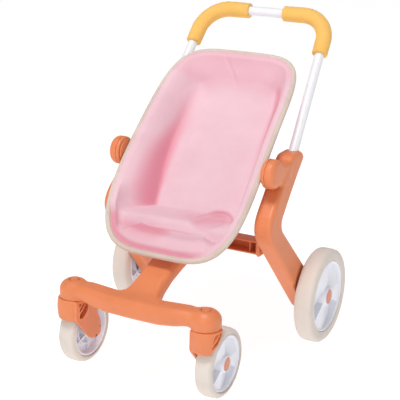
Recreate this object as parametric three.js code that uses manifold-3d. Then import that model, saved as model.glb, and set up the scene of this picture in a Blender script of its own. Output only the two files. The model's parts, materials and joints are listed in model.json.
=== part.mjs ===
// A doll stroller: two splayed moulded legs on large rear wheels, a U-shaped tube handle with two
// foam grips, a T-shaped front beam on two trailing casters, and a padded fabric seat slung in a
// hoop that reclines about two round knobs on the legs.
// Millimetres, +Z up, the front faces -Y, +X is the right-hand side seen from the front. The origin
// is on the ground, under the middle of the whole stroller. Inside the group, y = 0 is the rear axle.
import * as THREE from "three";
import { mergeVertices } from "three/addons/utils/BufferGeometryUtils.js";
import Module from "manifold-3d";

const wasm = await Module();
wasm.setup();
const rad = THREE.MathUtils.degToRad;

// ---- driving dimensions ----
const REAR_AXLE_BEHIND_ORIGIN = 86.1;
const GAP = 0.3; // between pieces that touch
const WHEEL_SIDES = 24;
const TUBE_SIDES = 12;
const PIN_SIDES = 12;

const REAR_WHEEL = { radius: 80, width: 31.7, rim: 60, hub: 15, cap: 12.5, x: 175.5, y: 0 };
const FRONT_WHEEL = { radius: 55, width: 28.9, rim: 44, hub: 12.5, cap: 10.5, x: 121.9, y: -260.4 };
const TYRE_SHAPE = { shoulder: 6, bead: 1.5 };
const RIM_SHAPE = { inset: 2, barrel: 3.5, web: [9, 5] }; // the web's two faces are depths from the outside
const HUB_CAP = { edge: 1.6, bevel: 2.5, height: 3, crown: 3.6 };
const AXLE_RADIUS = 3;
const AXLE_HEAD = { radius: 6, height: 2.2 };
const BLIND_WALL = 1.5; // left between a blind bore and the face it would come out of
const BORE_RADIUS = AXLE_RADIUS + GAP;

const HANDLE = {
  tilt: 49.6, // degrees from horizontal, leaning back
  gripY: 85, // the tube's centre at the lower ends of the grips
  gripZ: 464,
  rise: 73, // from there up the tilted plane to the cross tube's centre
  bendRadius: 49,
  bendHalfWidth: 118,
  footHalfWidth: 132,
  footDrop: 211, // from the grips' lower ends down the plane to the tube's feet
  tubeRadius: 8,
  tubeInner: 6.8,
  gripRadius: 13.3,
  gripInnerEnd: 32,
  bendSteps: 5,
};

const LEG = { groundX: 154.6, splay: 0.0746, width: 30, bevel: 5 };
// Side outline of a leg: y, z and the corner's rounding.
const LEG_CORNERS = [
  [-62, 331, 12],
  [-27, 331, 7.2],
  [-18, 319, 7.2],
  [-62, 282, 30],
  [-117, 231, 18],
  [16, 88, 16],
  [14, 52, 16],
  [-26, 58, 12],
  [-169, 233, 38],
];
const KNOB = { y: -123, z: 315, innerX: 127.9, radius: 23.2, length: 20 };
// The knob's profile: how far inside its radius, and how far along it.
const KNOB_PROFILE = [
  [3.5, 0],
  [0, 6],
  [0, 10],
  [3.5, 16],
  [11, 19],
];
const NECK_CORNERS = [
  [-136, 329, 12],
  [-64, 322, 12],
  [-80, 284, 12],
  [-136, 301, 12],
];

const TUBE_SCREW = { aboveFoot: 14, radius: 2, headRadius: 4.2, headDepth: 2.2 };

const SWIVEL = { x: 116.5, y: -291.5, radius: 23, bottom: 122.3, top: 151 };
// The lobe's profile: how far inside its radius, and how far below its top.
const LOBE_PROFILE = [
  [0, 10],
  [2.2, 4.5],
  [8, 1.2],
  [14, 0],
];
const SWIVEL_PIN = { radius: 4, headRadius: 6.8, recessRadius: 7.6, recessFloor: 147, headHeight: 3 };
const FENDER = { x: 119, y: -293.5, radius: 23.5, bottom: 88, crownBottom: 113, wall: 3.2 };
const FENDER_RIBS = { places: [112, 119, 126], width: 1.6, bottom: 92, depth: 13 };
const ARM = { inner: 99.5, outer: 104.9, bevel: 1.2 };
// Side outline of the fork's arm: y, z and the corner's rounding.
const ARM_CORNERS = [
  [-311, 121, 3],
  [-312, 89, 5],
  [-271, 42, 12],
  [-246, 42, 12],
  [-245, 66, 10],
  [-258, 94, 12],
  [-272, 121, 3],
];
const TYRE_CLEARANCE = 2.1;

const CROSSBAR = { front: -130, rear: -106, bottom: 181, top: 204, wall: 3, halfLength: 123.6, endWall: 8 };
const COLLAR = { length: 5, forward: 3, down: 0.8 };
const TENON = { front: -126, rear: -110, bottom: 185, top: 200, depth: 9 };
const TONGUE = { halfWidth: 26, from: -140, bottom: 184.4, top: 200.6 };
const BEAM_SCREW = { x: 14, radius: 2, headRadius: 4.5, headHeight: 2.3, length: 16 };

// The front bar's sections, middle to end: x, rear, front, bottom, top.
const BAR_SECTIONS = [
  [0, -279, -318, 116, 147],
  [45, -279, -317.2, 116.3, 147],
  [72, -278, -315, 119, 148.5],
  [88, -277, -313.5, 122.7, 149],
  [116, -280, -311, 124, 147.5],
];
const BAR_SQUARENESS = 3.2;
// The stem's sections, front to rear: y, half width, bottom, top.
const STEM_SECTIONS = [
  [-302, 50, 119, 144],
  [-290, 38.5, 119, 147.5],
  [-281, 31, 121, 150.5],
  [-272, 27.5, 126, 155],
  [-255, 25, 135.5, 163.5],
  [-230, 24.5, 148, 174.5],
  [-195, 25.5, 160, 186],
  [-160, 28.5, 171, 196],
  [-131.5, 31, 178.5, 203],
];
const STEM_SQUARENESS = 4;

const RIM_PLANE = { y: -163, z: 278, tilt: 44.5 };
const RIM = {
  middle: 115, // along the plane, where the outline is widest
  upper: 160.4,
  lower: 226.9,
  halfWidth: 118.6,
  taper: 0.04,
  headPower: 4.6,
  footPower: 4,
  bowPeak: 70,
  bowHeight: 3,
  bowDrop: 14,
  bowSpan: 185,
};
const RIM_STEPS = 38;
const HOOP_RADIUS = 3.2;
const PIPING = { inner: 3.9, outer: 4.8, slotHalfAngle: 42, points: 7 };
const SEAT = { thickness: 3.6, centre: 70, sideWall: 36, headWall: 66, footWall: 30, flange: 4 };
// Shares of the way from the middle of the seat to its rim.
const SEAT_SHARES = [0.2, 0.42, 0.58, 0.7, 0.79, 0.87, 0.94, 1];
// Depth of the seat's inside below the rim's plane, along the middle from head to foot.
const SEAT_DEPTHS = [
  [205, 44],
  [109, 46],
  [5, 56],
  [-40, 40],
  [-92, 34],
];
const PIVOT_DISC = { inner: 125.3, outer: 127.6, radius: 19.1 };
const PIVOT_PIN = { radius: 4, from: 117.6, to: 141 };
const BOSS = { radius: 6.5, from: 117.2, to: 125 };

// ---- materials ----
const plastic = (color, roughness) => new THREE.MeshStandardMaterial({ color, roughness, metalness: 0 });
const MATERIALS = {
  orange: plastic(0xe88a58, 0.5),
  white: plastic(0xf2f2f4, 0.4),
  foam: plastic(0xfac56c, 0.8),
  tyre: plastic(0xe6dccf, 0.7),
  fabric: plastic(0xf3c6ce, 0.95),
  piping: plastic(0xe4d8c8, 0.9),
  steel: new THREE.MeshStandardMaterial({ color: 0xc8cacc, roughness: 0.3, metalness: 0.9 }),
};

// ---- solids ----
function bare(geometry) {
  const copy = geometry.clone();
  copy.deleteAttribute("normal");
  copy.deleteAttribute("uv");
  return mergeVertices(copy, 1e-4);
}

function manifoldOf(geometry, triangles) {
  return new wasm.Manifold(
    new wasm.Mesh({
      numProp: 3,
      vertProperties: geometry.attributes.position.array,
      triVerts: new Uint32Array(triangles),
    }),
  );
}

// A closed mesh as a solid, without its empty triangles and turned to face outwards.
function solid(geometry) {
  const merged = bare(geometry);
  const index = merged.index.array;
  const kept = [];
  for (let i = 0; i < index.length; i += 3) {
    const [a, b, c] = [index[i], index[i + 1], index[i + 2]];
    if (a !== b && b !== c && c !== a) kept.push(a, b, c);
  }
  const made = manifoldOf(merged, kept);
  if (made.volume() > 0) return made;
  for (let i = 0; i < kept.length; i += 3) [kept[i + 1], kept[i + 2]] = [kept[i + 2], kept[i + 1]];
  return manifoldOf(merged, kept);
}

function geometryOf(manifold) {
  const mesh = manifold.getMesh();
  const geometry = new THREE.BufferGeometry();
  const positions = new Float32Array(mesh.numVert * 3);
  for (let i = 0; i < mesh.numVert; i += 1) {
    for (let k = 0; k < 3; k += 1) positions[3 * i + k] = mesh.vertProperties[i * mesh.numProp + k];
  }
  geometry.setAttribute("position", new THREE.BufferAttribute(positions, 3));
  geometry.setIndex([...mesh.triVerts]);
  geometry.computeVertexNormals();
  return geometry;
}

// Joins rings of points into one closed surface: either a loop of rings, or a run with fanned ends.
function loft(rings, closed = false) {
  const count = rings[0].length;
  const points = rings.flat();
  const faces = [];
  const bands = closed ? rings.length : rings.length - 1;
  for (let k = 0; k < bands; k += 1) {
    const here = k * count;
    const there = ((k + 1) % rings.length) * count;
    for (let j = 0; j < count; j += 1) {
      const next = (j + 1) % count;
      faces.push(here + j, here + next, there + j, here + next, there + next, there + j);
    }
  }
  if (!closed) {
    for (const [k, flip] of [[0, true], [rings.length - 1, false]]) {
      const middle = new THREE.Vector3();
      rings[k].forEach((p) => middle.addScaledVector(p, 1 / count));
      points.push(middle);
      const hub = points.length - 1;
      for (let j = 0; j < count; j += 1) {
        const [a, b] = [k * count + j, k * count + ((j + 1) % count)];
        faces.push(hub, flip ? b : a, flip ? a : b);
      }
    }
  }
  const geometry = new THREE.BufferGeometry().setFromPoints(points);
  geometry.setIndex(faces);
  return geometryOf(solid(geometry));
}

// A turned piece on the X axis: the profile is (radius, x) pairs, closed on itself or on the axis.
function turned(profile, sides, turn = Math.PI / sides) {
  const points = profile.map(([r, x]) => new THREE.Vector2(r, x));
  const onAxis = profile[0][0] === 0 && profile.at(-1)[0] === 0;
  if (!onAxis) points.push(points[0].clone());
  return new THREE.LatheGeometry(points, sides, turn).rotateZ(-Math.PI / 2);
}

function rod(radius, from, to, sides = PIN_SIDES) {
  return turned([[0, from], [radius, from], [radius, to], [0, to]], sides);
}

function box(x0, x1, y0, y1, z0, z1) {
  const middle = [(x0 + x1) / 2, (y0 + y1) / 2, (z0 + z1) / 2];
  return new THREE.BoxGeometry(x1 - x0, y1 - y0, z1 - z0).translate(...middle);
}

// A closed outline through corners, each rounded over the given length of its two sides.
function roundedOutline(corners, steps = 4) {
  const at = corners.map(([a, b]) => new THREE.Vector2(a, b));
  return corners.flatMap(([, , r], i) => {
    const towards = (other) => at[i].clone().add(other.clone().sub(at[i]).setLength(r));
    const [start, end] = [towards(at.at(i - 1)), towards(at[(i + 1) % at.length])];
    return new THREE.QuadraticBezierCurve(start, at[i], end).getPoints(steps);
  });
}

// A plate whose outline is in the YZ plane and whose thickness runs from x0 to x1, edges rounded.
function sidePlate(corners, x0, x1, bevel, bevelSteps = 2) {
  const contour = roundedOutline(corners);
  const count = contour.length;
  const inSign = THREE.ShapeUtils.isClockWise(contour) ? -1 : 1;
  const inwards = contour.map((p, i) => {
    const before = p.clone().sub(contour.at(i - 1)).normalize();
    const along = contour[(i + 1) % count].clone().sub(p).normalize().add(before).normalize();
    return new THREE.Vector2(-along.y, along.x).multiplyScalar(inSign);
  });
  // Each level is a distance in from the plate's face, and how far the outline is drawn in there.
  const levels = Array.from({ length: bevelSteps + 1 }, (_, k) => {
    const a = (k / bevelSteps) * (Math.PI / 2);
    return [bevel * (1 - Math.cos(a)), bevel * (1 - Math.sin(a))];
  });
  const nearFace = levels.map(([depth, inset]) => [x0 + depth, inset]);
  const farFace = levels.map(([depth, inset]) => [x1 - depth, inset]);
  const stack = [...nearFace, ...farFace.reverse()];
  const points = stack.flatMap(([x, inset]) =>
    contour.map((p, i) => new THREE.Vector3(x, p.x + inwards[i].x * inset, p.y + inwards[i].y * inset)),
  );
  const faces = [];
  for (let k = 0; k + 1 < stack.length; k += 1) {
    for (let j = 0; j < count; j += 1) {
      const [a, b] = [k * count + j, k * count + ((j + 1) % count)];
      faces.push(a, a + count, b, b, a + count, b + count);
    }
  }
  const top = (stack.length - 1) * count;
  for (const [a, b, c] of THREE.ShapeUtils.triangulateShape(contour, [])) {
    faces.push(...(inSign > 0 ? [a, b, c] : [a, c, b]));
    faces.push(...(inSign > 0 ? [top + a, top + c, top + b] : [top + a, top + b, top + c]));
  }
  const geometry = new THREE.BufferGeometry().setFromPoints(points);
  geometry.setIndex(faces);
  return geometry;
}

const atKnob = (geometry) => solid(geometry.translate(0, KNOB.y, KNOB.z));

// Leans a piece of a leg outwards as it goes down.
function splayed(geometry) {
  const p = geometry.attributes.position;
  for (let i = 0; i < p.count; i += 1) p.setX(i, p.getX(i) + LEG.groundX - LEG.splay * p.getZ(i));
  return geometry;
}

// A rounded ring of points: a superellipse about a centre, in two directions.
function ring(centre, across, up, power = 2, count = 16) {
  const bend = (v) => Math.sign(v) * Math.abs(v) ** (2 / power);
  return Array.from({ length: count }, (_, i) => {
    const a = (2 * Math.PI * (i + 0.5)) / count;
    return centre.clone().addScaledVector(across, bend(Math.cos(a))).addScaledVector(up, bend(Math.sin(a)));
  });
}

// ---- wheels ----
const hubHeight = ({ radius }) => radius * Math.cos(Math.PI / WHEEL_SIDES);

function tyre({ radius, width, rim }) {
  const [half, inner] = [width / 2, rim + GAP];
  const { shoulder, bead } = TYRE_SHAPE;
  return turned(
    [
      [inner, -half + bead],
      [radius - shoulder, -half],
      [radius, -half + shoulder],
      [radius, half - shoulder],
      [radius - shoulder, half],
      [inner, half - bead],
    ],
    WHEEL_SIDES,
  );
}

function rim({ width, rim: radius, hub }) {
  const half = width / 2 - RIM_SHAPE.inset;
  const barrel = radius - RIM_SHAPE.barrel;
  const [webIn, webOut] = RIM_SHAPE.web.map((depth) => half - depth);
  const headRoom = AXLE_HEAD.radius + 2 * GAP;
  const headFloor = half - AXLE_HEAD.height - GAP;
  return turned(
    [
      [BORE_RADIUS, -half],
      [hub, -half],
      [hub, webIn],
      [barrel, webIn],
      [barrel, -half],
      [radius, -half],
      [radius, half],
      [barrel, half],
      [barrel, webOut],
      [hub, webOut],
      [hub, half],
      [headRoom, half],
      [headRoom, headFloor],
      [BORE_RADIUS, headFloor],
    ],
    WHEEL_SIDES,
  );
}

function hubCap({ width, cap }) {
  const foot = width / 2 - RIM_SHAPE.inset + GAP;
  const { height, edge, crown } = HUB_CAP;
  const top = [[cap - HUB_CAP.bevel, foot + height], [0, foot + crown]];
  return turned([[0, foot], [cap, foot], [cap, foot + edge], ...top], 20);
}

// An axle from where its plain end is held to its head, which lies in the hub under the cap.
function axle({ width }, from) {
  const top = width / 2 - RIM_SHAPE.inset;
  const neck = top - AXLE_HEAD.height;
  const profile = [[0, from], [AXLE_RADIUS, from], [AXLE_RADIUS, neck], [AXLE_HEAD.radius, neck]];
  return turned([...profile, [AXLE_HEAD.radius, top], [0, top]], PIN_SIDES);
}

// ---- handle ----
const handleUp = new THREE.Vector3(0, Math.cos(rad(HANDLE.tilt)), Math.sin(rad(HANDLE.tilt)));
const handleNormal = new THREE.Vector3(0, -handleUp.z, handleUp.y);
const onHandle = (x, s) => new THREE.Vector3(x, HANDLE.gripY, HANDLE.gripZ).addScaledVector(handleUp, s);

// Half-width of the straight part of the tube at a height along the handle's plane.
function tubeX(s) {
  const bendFoot = HANDLE.rise - HANDLE.bendRadius;
  const t = (s + HANDLE.footDrop) / (bendFoot + HANDLE.footDrop);
  return THREE.MathUtils.lerp(HANDLE.footHalfWidth, HANDLE.bendHalfWidth, t);
}

// The bend's stations, from the straight side to the cross tube.
function bendStations() {
  const { rise, bendRadius, bendHalfWidth, bendSteps } = HANDLE;
  return Array.from({ length: bendSteps + 1 }, (_, i) => {
    const a = (i / bendSteps) * (Math.PI / 2);
    return [bendHalfWidth - bendRadius * (1 - Math.cos(a)), rise - bendRadius * (1 - Math.sin(a))];
  });
}

// Rings square to a path in the handle's plane; radii gives one radius or one for each station.
function handleRings(stations, radii) {
  const points = stations.map(([x, s]) => onHandle(x, s));
  return points.map((p, i) => {
    const before = points[Math.max(i - 1, 0)];
    const after = points[Math.min(i + 1, points.length - 1)];
    const along = new THREE.Vector3();
    if (i > 0) along.add(p.clone().sub(before).normalize());
    if (i < points.length - 1) along.add(after.clone().sub(p).normalize());
    const across = along.normalize().cross(handleNormal);
    const r = Array.isArray(radii) ? radii[i] : radii;
    return ring(p, across.multiplyScalar(r), handleNormal.clone().multiplyScalar(r), 2, TUBE_SIDES);
  });
}

// A sleeve: its outside from one end to the other, then its inside back again.
function sleeve(stations, outer, inner) {
  return loft([...handleRings(stations, outer), ...handleRings(stations, inner).reverse()], true);
}

function handleTube() {
  const foot = -HANDLE.footDrop;
  const side = [[tubeX(foot), foot], ...bendStations()];
  const mirrored = side.map(([x, s]) => [-x, s]).reverse();
  return sleeve([...side, ...mirrored], HANDLE.tubeRadius, HANDLE.tubeInner);
}

function grip() {
  const { gripRadius, gripInnerEnd, rise, tubeRadius } = HANDLE;
  const stations = [
    [tubeX(0), 0],
    [tubeX(3.5), 3.5],
    ...bendStations(),
    [gripInnerEnd + 3.5, rise],
    [gripInnerEnd, rise],
  ];
  const radii = stations.map((_, i) => (i === 0 || i === stations.length - 1 ? gripRadius - 2 : gripRadius));
  return sleeve(stations, radii, tubeRadius + 2 * GAP);
}

// ---- legs ----
// A rod along the tube's foot, for the socket in the leg.
function tubeFoot(radius, from, to) {
  return loft(handleRings([[tubeX(from), from], [tubeX(to), to]], radius));
}

// The leg's inner face, at a height.
const legInner = (z) => LEG.groundX - LEG.splay * z - LEG.width / 2;

function leg() {
  const half = LEG.width / 2;
  const column = solid(splayed(sidePlate(LEG_CORNERS, -half, half, LEG.bevel)));
  const neck = solid(sidePlate(NECK_CORNERS, KNOB.innerX + 1, KNOB.innerX + KNOB.length - 1, LEG.bevel, 1));
  const knobCurve = KNOB_PROFILE.map(([inset, x]) => [KNOB.radius - inset, x]);
  const knob = atKnob(turned([[0, 0], ...knobCurve, [0, KNOB.length]], 24).translate(KNOB.innerX, 0, 0));
  const wheelFace = REAR_WHEEL.x - REAR_WHEEL.width / 2 - TYRE_CLEARANCE;
  const wheelRoom = rod(REAR_WHEEL.radius + 4, wheelFace, wheelFace + LEG.width, WHEEL_SIDES);
  const axleEnd = legInner(hubHeight(REAR_WHEEL)) + BLIND_WALL;
  const atAxle = (geometry) => solid(geometry.translate(0, REAR_WHEEL.y, hubHeight(REAR_WHEEL)));
  const pocket = box(
    CROSSBAR.halfLength - 2,
    CROSSBAR.halfLength + TENON.depth + GAP,
    TENON.front - GAP,
    TENON.rear + GAP,
    TENON.bottom - GAP,
    TENON.top + GAP,
  );
  const foot = -HANDLE.footDrop;
  return geometryOf(
    column
      .add(neck)
      .add(knob)
      .subtract(atAxle(wheelRoom))
      .subtract(atAxle(rod(BORE_RADIUS, axleEnd, REAR_WHEEL.x)))
      .subtract(atKnob(rod(PIVOT_PIN.radius + GAP, PIVOT_DISC.outer, PIVOT_PIN.to + 1)))
      .subtract(solid(tubeFoot(HANDLE.tubeRadius + GAP, foot - GAP, foot + 80)))
      .subtract(solid(pocket))
      .subtract(solid(tubeScrewHole())),
  );
}

// The screw that holds the tube's foot, driven in from the leg's inner side, and its hole.
const tubeScrewAt = onHandle(0, TUBE_SCREW.aboveFoot - HANDLE.footDrop);
const tubeFace = tubeX(TUBE_SCREW.aboveFoot - HANDLE.footDrop) - HANDLE.tubeRadius;

function screwProfile(grow, head, tip) {
  const { radius, headRadius, headDepth } = TUBE_SCREW;
  const neck = legInner(tubeScrewAt.z) + headDepth + grow;
  const profile = [[0, head], [headRadius + grow, head], [headRadius + grow, neck], [radius + grow, neck]];
  const geometry = turned([...profile, [radius + grow, tip], [0, tip]], PIN_SIDES);
  return geometry.translate(0, tubeScrewAt.y, tubeScrewAt.z);
}

const tubeScrew = () => screwProfile(0, legInner(tubeScrewAt.z), tubeFace - GAP);
const tubeScrewHole = () => screwProfile(GAP, legInner(tubeScrewAt.z) - LEG.bevel, tubeFace);

// ---- cross member and front beam ----
// The same solid and its mirror image on the other side of x = 0.
function bothSides(manifold) {
  return manifold.add(manifold.mirror([1, 0, 0]));
}

function crossbar() {
  const { front, rear, bottom, top, wall, halfLength, endWall } = CROSSBAR;
  const inside = halfLength - endWall;
  const body = solid(box(-halfLength, halfLength, front, rear, bottom, top));
  const channel = solid(box(-inside, inside, front - 1, rear - wall, bottom + wall, top - wall));
  const tenonEnd = halfLength + TENON.depth;
  const tenon = solid(box(halfLength - 1, tenonEnd, TENON.front, TENON.rear, TENON.bottom, TENON.top));
  const { length, forward, down } = COLLAR;
  const collar = solid(box(halfLength - length, halfLength, front - forward, rear, bottom - down, top));
  return geometryOf(
    body
      .subtract(channel)
      .add(bothSides(tenon))
      .add(bothSides(collar))
      .subtract(bothSides(solid(beamScrewHole()))),
  );
}

// Places a turned piece on the axis of the screw through the crossbar's rear wall.
function onBeamScrew(geometry) {
  const middle = (CROSSBAR.bottom + CROSSBAR.top) / 2;
  return geometry.rotateZ(Math.PI / 2).translate(BEAM_SCREW.x, CROSSBAR.rear, middle);
}

function beamScrewHole() {
  return onBeamScrew(rod(BEAM_SCREW.radius + GAP, -BEAM_SCREW.length - GAP, 1));
}

function beamScrew() {
  const { radius, headRadius, headHeight, length } = BEAM_SCREW;
  const head = [[headRadius, GAP], [headRadius, GAP + headHeight], [0, GAP + headHeight]];
  return onBeamScrew(turned([[0, -length], [radius, -length], [radius, GAP], ...head], PIN_SIDES));
}

function frontBeam() {
  const half = BAR_SECTIONS.map(([x, rear, front, bottom, top]) => {
    const centre = new THREE.Vector3(x, (rear + front) / 2, (bottom + top) / 2);
    const back = new THREE.Vector3(0, (rear - front) / 2, 0);
    return ring(centre, back, new THREE.Vector3(0, 0, (top - bottom) / 2), BAR_SQUARENESS);
  });
  const mirrored = half.slice(1).map((section) => section.map((p) => new THREE.Vector3(-p.x, p.y, p.z)));
  const bar = solid(loft([...mirrored.reverse(), ...half]));
  const stemRings = STEM_SECTIONS.map(([y, halfWidth, bottom, top]) => {
    const centre = new THREE.Vector3(0, y, (bottom + top) / 2);
    const across = new THREE.Vector3(halfWidth, 0, 0);
    return ring(centre, across, new THREE.Vector3(0, 0, (top - bottom) / 2), STEM_SQUARENESS);
  });
  const { halfWidth, from, bottom, top } = TONGUE;
  const tongue = box(-halfWidth, halfWidth, from, CROSSBAR.rear - CROSSBAR.wall - GAP, bottom, top);
  return geometryOf(
    bar
      .add(solid(loft(stemRings)))
      .add(solid(tongue))
      .add(bothSides(atSwivel(swivelLobe())))
      .subtract(bothSides(atSwivel(swivelBore())))
      .subtract(bothSides(solid(beamScrewHole()))),
  );
}

// A turned piece stood up on the Z axis.
const upright = (geometry) => geometry.rotateY(-Math.PI / 2);
const atSwivel = (geometry) => solid(geometry.translate(SWIVEL.x, SWIVEL.y, 0));

function swivelLobe() {
  const { radius, bottom, top } = SWIVEL;
  const crown = LOBE_PROFILE.map(([inset, depth]) => [radius - inset, top - depth]);
  return upright(turned([[0, bottom], [radius, bottom], ...crown, [0, top]], 28));
}

function swivelBore() {
  const { radius, recessRadius, recessFloor } = SWIVEL_PIN;
  const [from, to] = [SWIVEL.bottom - 5, SWIVEL.top + 5];
  const recess = [[recessRadius, recessFloor], [recessRadius, to], [0, to]];
  return upright(turned([[0, from], [radius + GAP, from], [radius + GAP, recessFloor], ...recess], 16));
}

function swivelPin() {
  const { radius, headRadius, recessFloor, headHeight } = SWIVEL_PIN;
  const [foot, head] = [FENDER.crownBottom, recessFloor + GAP];
  const neck = [[0, foot], [radius, foot], [radius, head], [headRadius, head]];
  const top = head + headHeight;
  const crown = [[headRadius, top - 1.5], [headRadius - 2, top], [0, top]];
  return upright(turned([...neck, ...crown], 16));
}

// ---- casters ----
function fork() {
  const { x, y, radius, bottom, crownBottom, wall } = FENDER;
  const atFender = (geometry) => solid(geometry.translate(x, y, 0));
  const drum = atFender(upright(rod(radius, bottom, SWIVEL.bottom - GAP, 28)));
  const hollow = atFender(upright(rod(radius - wall, bottom - 1, crownBottom, 28)));
  const behind = box(ARM.outer, x + 2 * radius, SWIVEL.y + 4, FRONT_WHEEL.y, bottom - 1, crownBottom);
  let made = drum.subtract(hollow).subtract(solid(behind));
  made = made.add(solid(sidePlate(ARM_CORNERS, ARM.inner, ARM.outer, ARM.bevel, 1)));
  for (const place of FENDER_RIBS.places) {
    const [x0, x1] = [place - FENDER_RIBS.width / 2, place + FENDER_RIBS.width / 2];
    const front = y - radius + wall - 1;
    made = made.add(solid(box(x0, x1, front, front + FENDER_RIBS.depth, FENDER_RIBS.bottom, crownBottom + 1)));
  }
  const wheelZ = hubHeight(FRONT_WHEEL);
  const tyreFace = FRONT_WHEEL.x - FRONT_WHEEL.width / 2 - TYRE_CLEARANCE;
  const tyreFar = FRONT_WHEEL.x + FRONT_WHEEL.width;
  const tyreRoom = rod(FRONT_WHEEL.radius + TYRE_CLEARANCE, tyreFace, tyreFar, WHEEL_SIDES);
  const axleBore = rod(BORE_RADIUS, ARM.inner + BLIND_WALL, ARM.outer + 2);
  return geometryOf(
    made
      .subtract(solid(tyreRoom.translate(0, FRONT_WHEEL.y, wheelZ)))
      .subtract(solid(axleBore.translate(0, FRONT_WHEEL.y, wheelZ)))
      .subtract(atSwivel(upright(rod(SWIVEL_PIN.radius + GAP, crownBottom - 1, SWIVEL.bottom, 16)))),
  );
}

// ---- seat ----
const planeUp = new THREE.Vector3(0, Math.cos(rad(RIM_PLANE.tilt)), Math.sin(rad(RIM_PLANE.tilt)));
const planeNormal = new THREE.Vector3(0, -planeUp.z, planeUp.y);
// A seat point: across, along the rim's plane from foot to head, and out of the plane to the front.
const onSeat = (x, s, n) =>
  new THREE.Vector3(x, RIM_PLANE.y, RIM_PLANE.z).addScaledVector(planeUp, s).addScaledVector(planeNormal, n);
const bow = (s) => RIM.bowHeight - RIM.bowDrop * ((s - RIM.bowPeak) / RIM.bowSpan) ** 2;

// The rim's centre line: a long superellipse, narrower towards the head. inset moves it inwards.
function rimPoint(t, inset = 0) {
  const head = Math.sin(t) > 0;
  const power = head ? RIM.headPower : RIM.footPower;
  const bend = (v) => Math.sign(v) * Math.abs(v) ** (2 / power);
  const reach = (head ? RIM.upper : RIM.lower) - inset;
  const s = RIM.middle + reach * bend(Math.sin(t));
  const x = (RIM.halfWidth - inset) * bend(Math.cos(t)) * (1 - (RIM.taper * (s - RIM.middle)) / RIM.upper);
  return new THREE.Vector2(x, s);
}

// Even steps round the rim, each with its outward direction.
function rimStations(steps) {
  const fine = Array.from({ length: 1441 }, (_, i) => rimPoint((2 * Math.PI * i) / 1440));
  const lengths = [0];
  for (let i = 1; i < fine.length; i += 1) lengths.push(lengths[i - 1] + fine[i].distanceTo(fine[i - 1]));
  return Array.from({ length: steps }, (_, k) => {
    const target = ((k + 0.5) / steps) * lengths.at(-1);
    const i = lengths.findIndex((v) => v >= target);
    const [before, after] = [fine[i - 1], fine[i]];
    const at = before.clone().lerp(after, (target - lengths[i - 1]) / (lengths[i] - lengths[i - 1]));
    const along = after.clone().sub(before).normalize();
    return { at, out: new THREE.Vector2(along.y, -along.x) };
  });
}

// Sweeps a section of (outward, forward) offsets round the rim.
function rimSweep(section) {
  const rings = rimStations(RIM_STEPS).map(({ at, out }) =>
    section.map(([o, n]) => onSeat(at.x + out.x * o, at.y + out.y * o, bow(at.y) + n)),
  );
  return loft(rings, true);
}

function arc(radius, from, to, points) {
  return Array.from({ length: points }, (_, i) => {
    const a = rad(from + ((to - from) * i) / (points - 1));
    return [-radius * Math.cos(a), radius * Math.sin(a)];
  });
}

function seatFrame() {
  const hoop = solid(rimSweep(arc(HOOP_RADIUS, 0, 315, 8)));
  const boss = atKnob(rod(BOSS.radius, BOSS.from, BOSS.to, 16));
  const bore = atKnob(rod(PIVOT_PIN.radius + GAP, PIVOT_PIN.from - 10, PIVOT_PIN.to));
  return geometryOf(hoop.add(bothSides(boss)).subtract(bothSides(bore)));
}

// A split sleeve over the hoop, open along its inner side where the fabric goes in.
function seatPiping() {
  const { inner, outer, slotHalfAngle: slot, points } = PIPING;
  const section = [...arc(outer, slot, 360 - slot, points), ...arc(inner, 360 - slot, slot, points)];
  const hole = atKnob(rod(BOSS.radius + GAP, PIVOT_PIN.from - 10, PIVOT_PIN.to, 16));
  return geometryOf(solid(rimSweep(section)).subtract(bothSides(hole)));
}

// Depth of the seat's inside along its middle, between the listed places.
function middleDepth(s) {
  const after = SEAT_DEPTHS.findIndex(([at]) => at <= s);
  if (after === 0) return SEAT_DEPTHS[0][1];
  if (after < 0) return SEAT_DEPTHS.at(-1)[1];
  const [[s0, d0], [s1, d1]] = [SEAT_DEPTHS[after - 1], SEAT_DEPTHS[after]];
  return THREE.MathUtils.lerp(d0, d1, (s - s0) / (s1 - s0));
}

// The seat's inner or outer face at a share of the way from the middle to the rim.
function seatRing(share, below) {
  const centre = new THREE.Vector2(0, SEAT.centre);
  return rimStations(RIM_STEPS).map(({ at, out }) => {
    const edge = at.clone().addScaledVector(out, -HOOP_RADIUS - 2 * GAP);
    const p = centre.clone().lerp(edge, share);
    const inwards = (1 - share) * edge.distanceTo(centre);
    const endWall = out.y > 0 ? SEAT.headWall : SEAT.footWall;
    const wall = THREE.MathUtils.lerp(SEAT.sideWall, endWall, out.y ** 2);
    const depth = middleDepth(p.y) * THREE.MathUtils.smoothstep(inwards, SEAT.flange, wall);
    const half = SEAT.thickness / 2;
    return onSeat(p.x, p.y, bow(at.y) - depth + (below ? -half : half));
  });
}

function seatFabric() {
  const inside = SEAT_SHARES.map((share) => seatRing(share, false));
  const outside = SEAT_SHARES.map((share) => seatRing(share, true)).reverse();
  return loft([...inside, ...outside]);
}

function pivotDisc() {
  const { inner, outer, radius } = PIVOT_DISC;
  const bore = PIVOT_PIN.radius + GAP;
  const washer = turned([[bore, inner], [radius, inner], [radius, outer], [bore, outer]], 24);
  return washer.translate(0, KNOB.y, KNOB.z);
}

function pivotPin() {
  return rod(PIVOT_PIN.radius, PIVOT_PIN.from, PIVOT_PIN.to).translate(0, KNOB.y, KNOB.z);
}

// ---- assembly ----
const stroller = new THREE.Group();
stroller.position.y = REAR_AXLE_BEHIND_ORIGIN;

function add(parent, name, geometry, material) {
  const mesh = new THREE.Mesh(geometry, material);
  mesh.name = name;
  parent.add(mesh);
}

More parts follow.
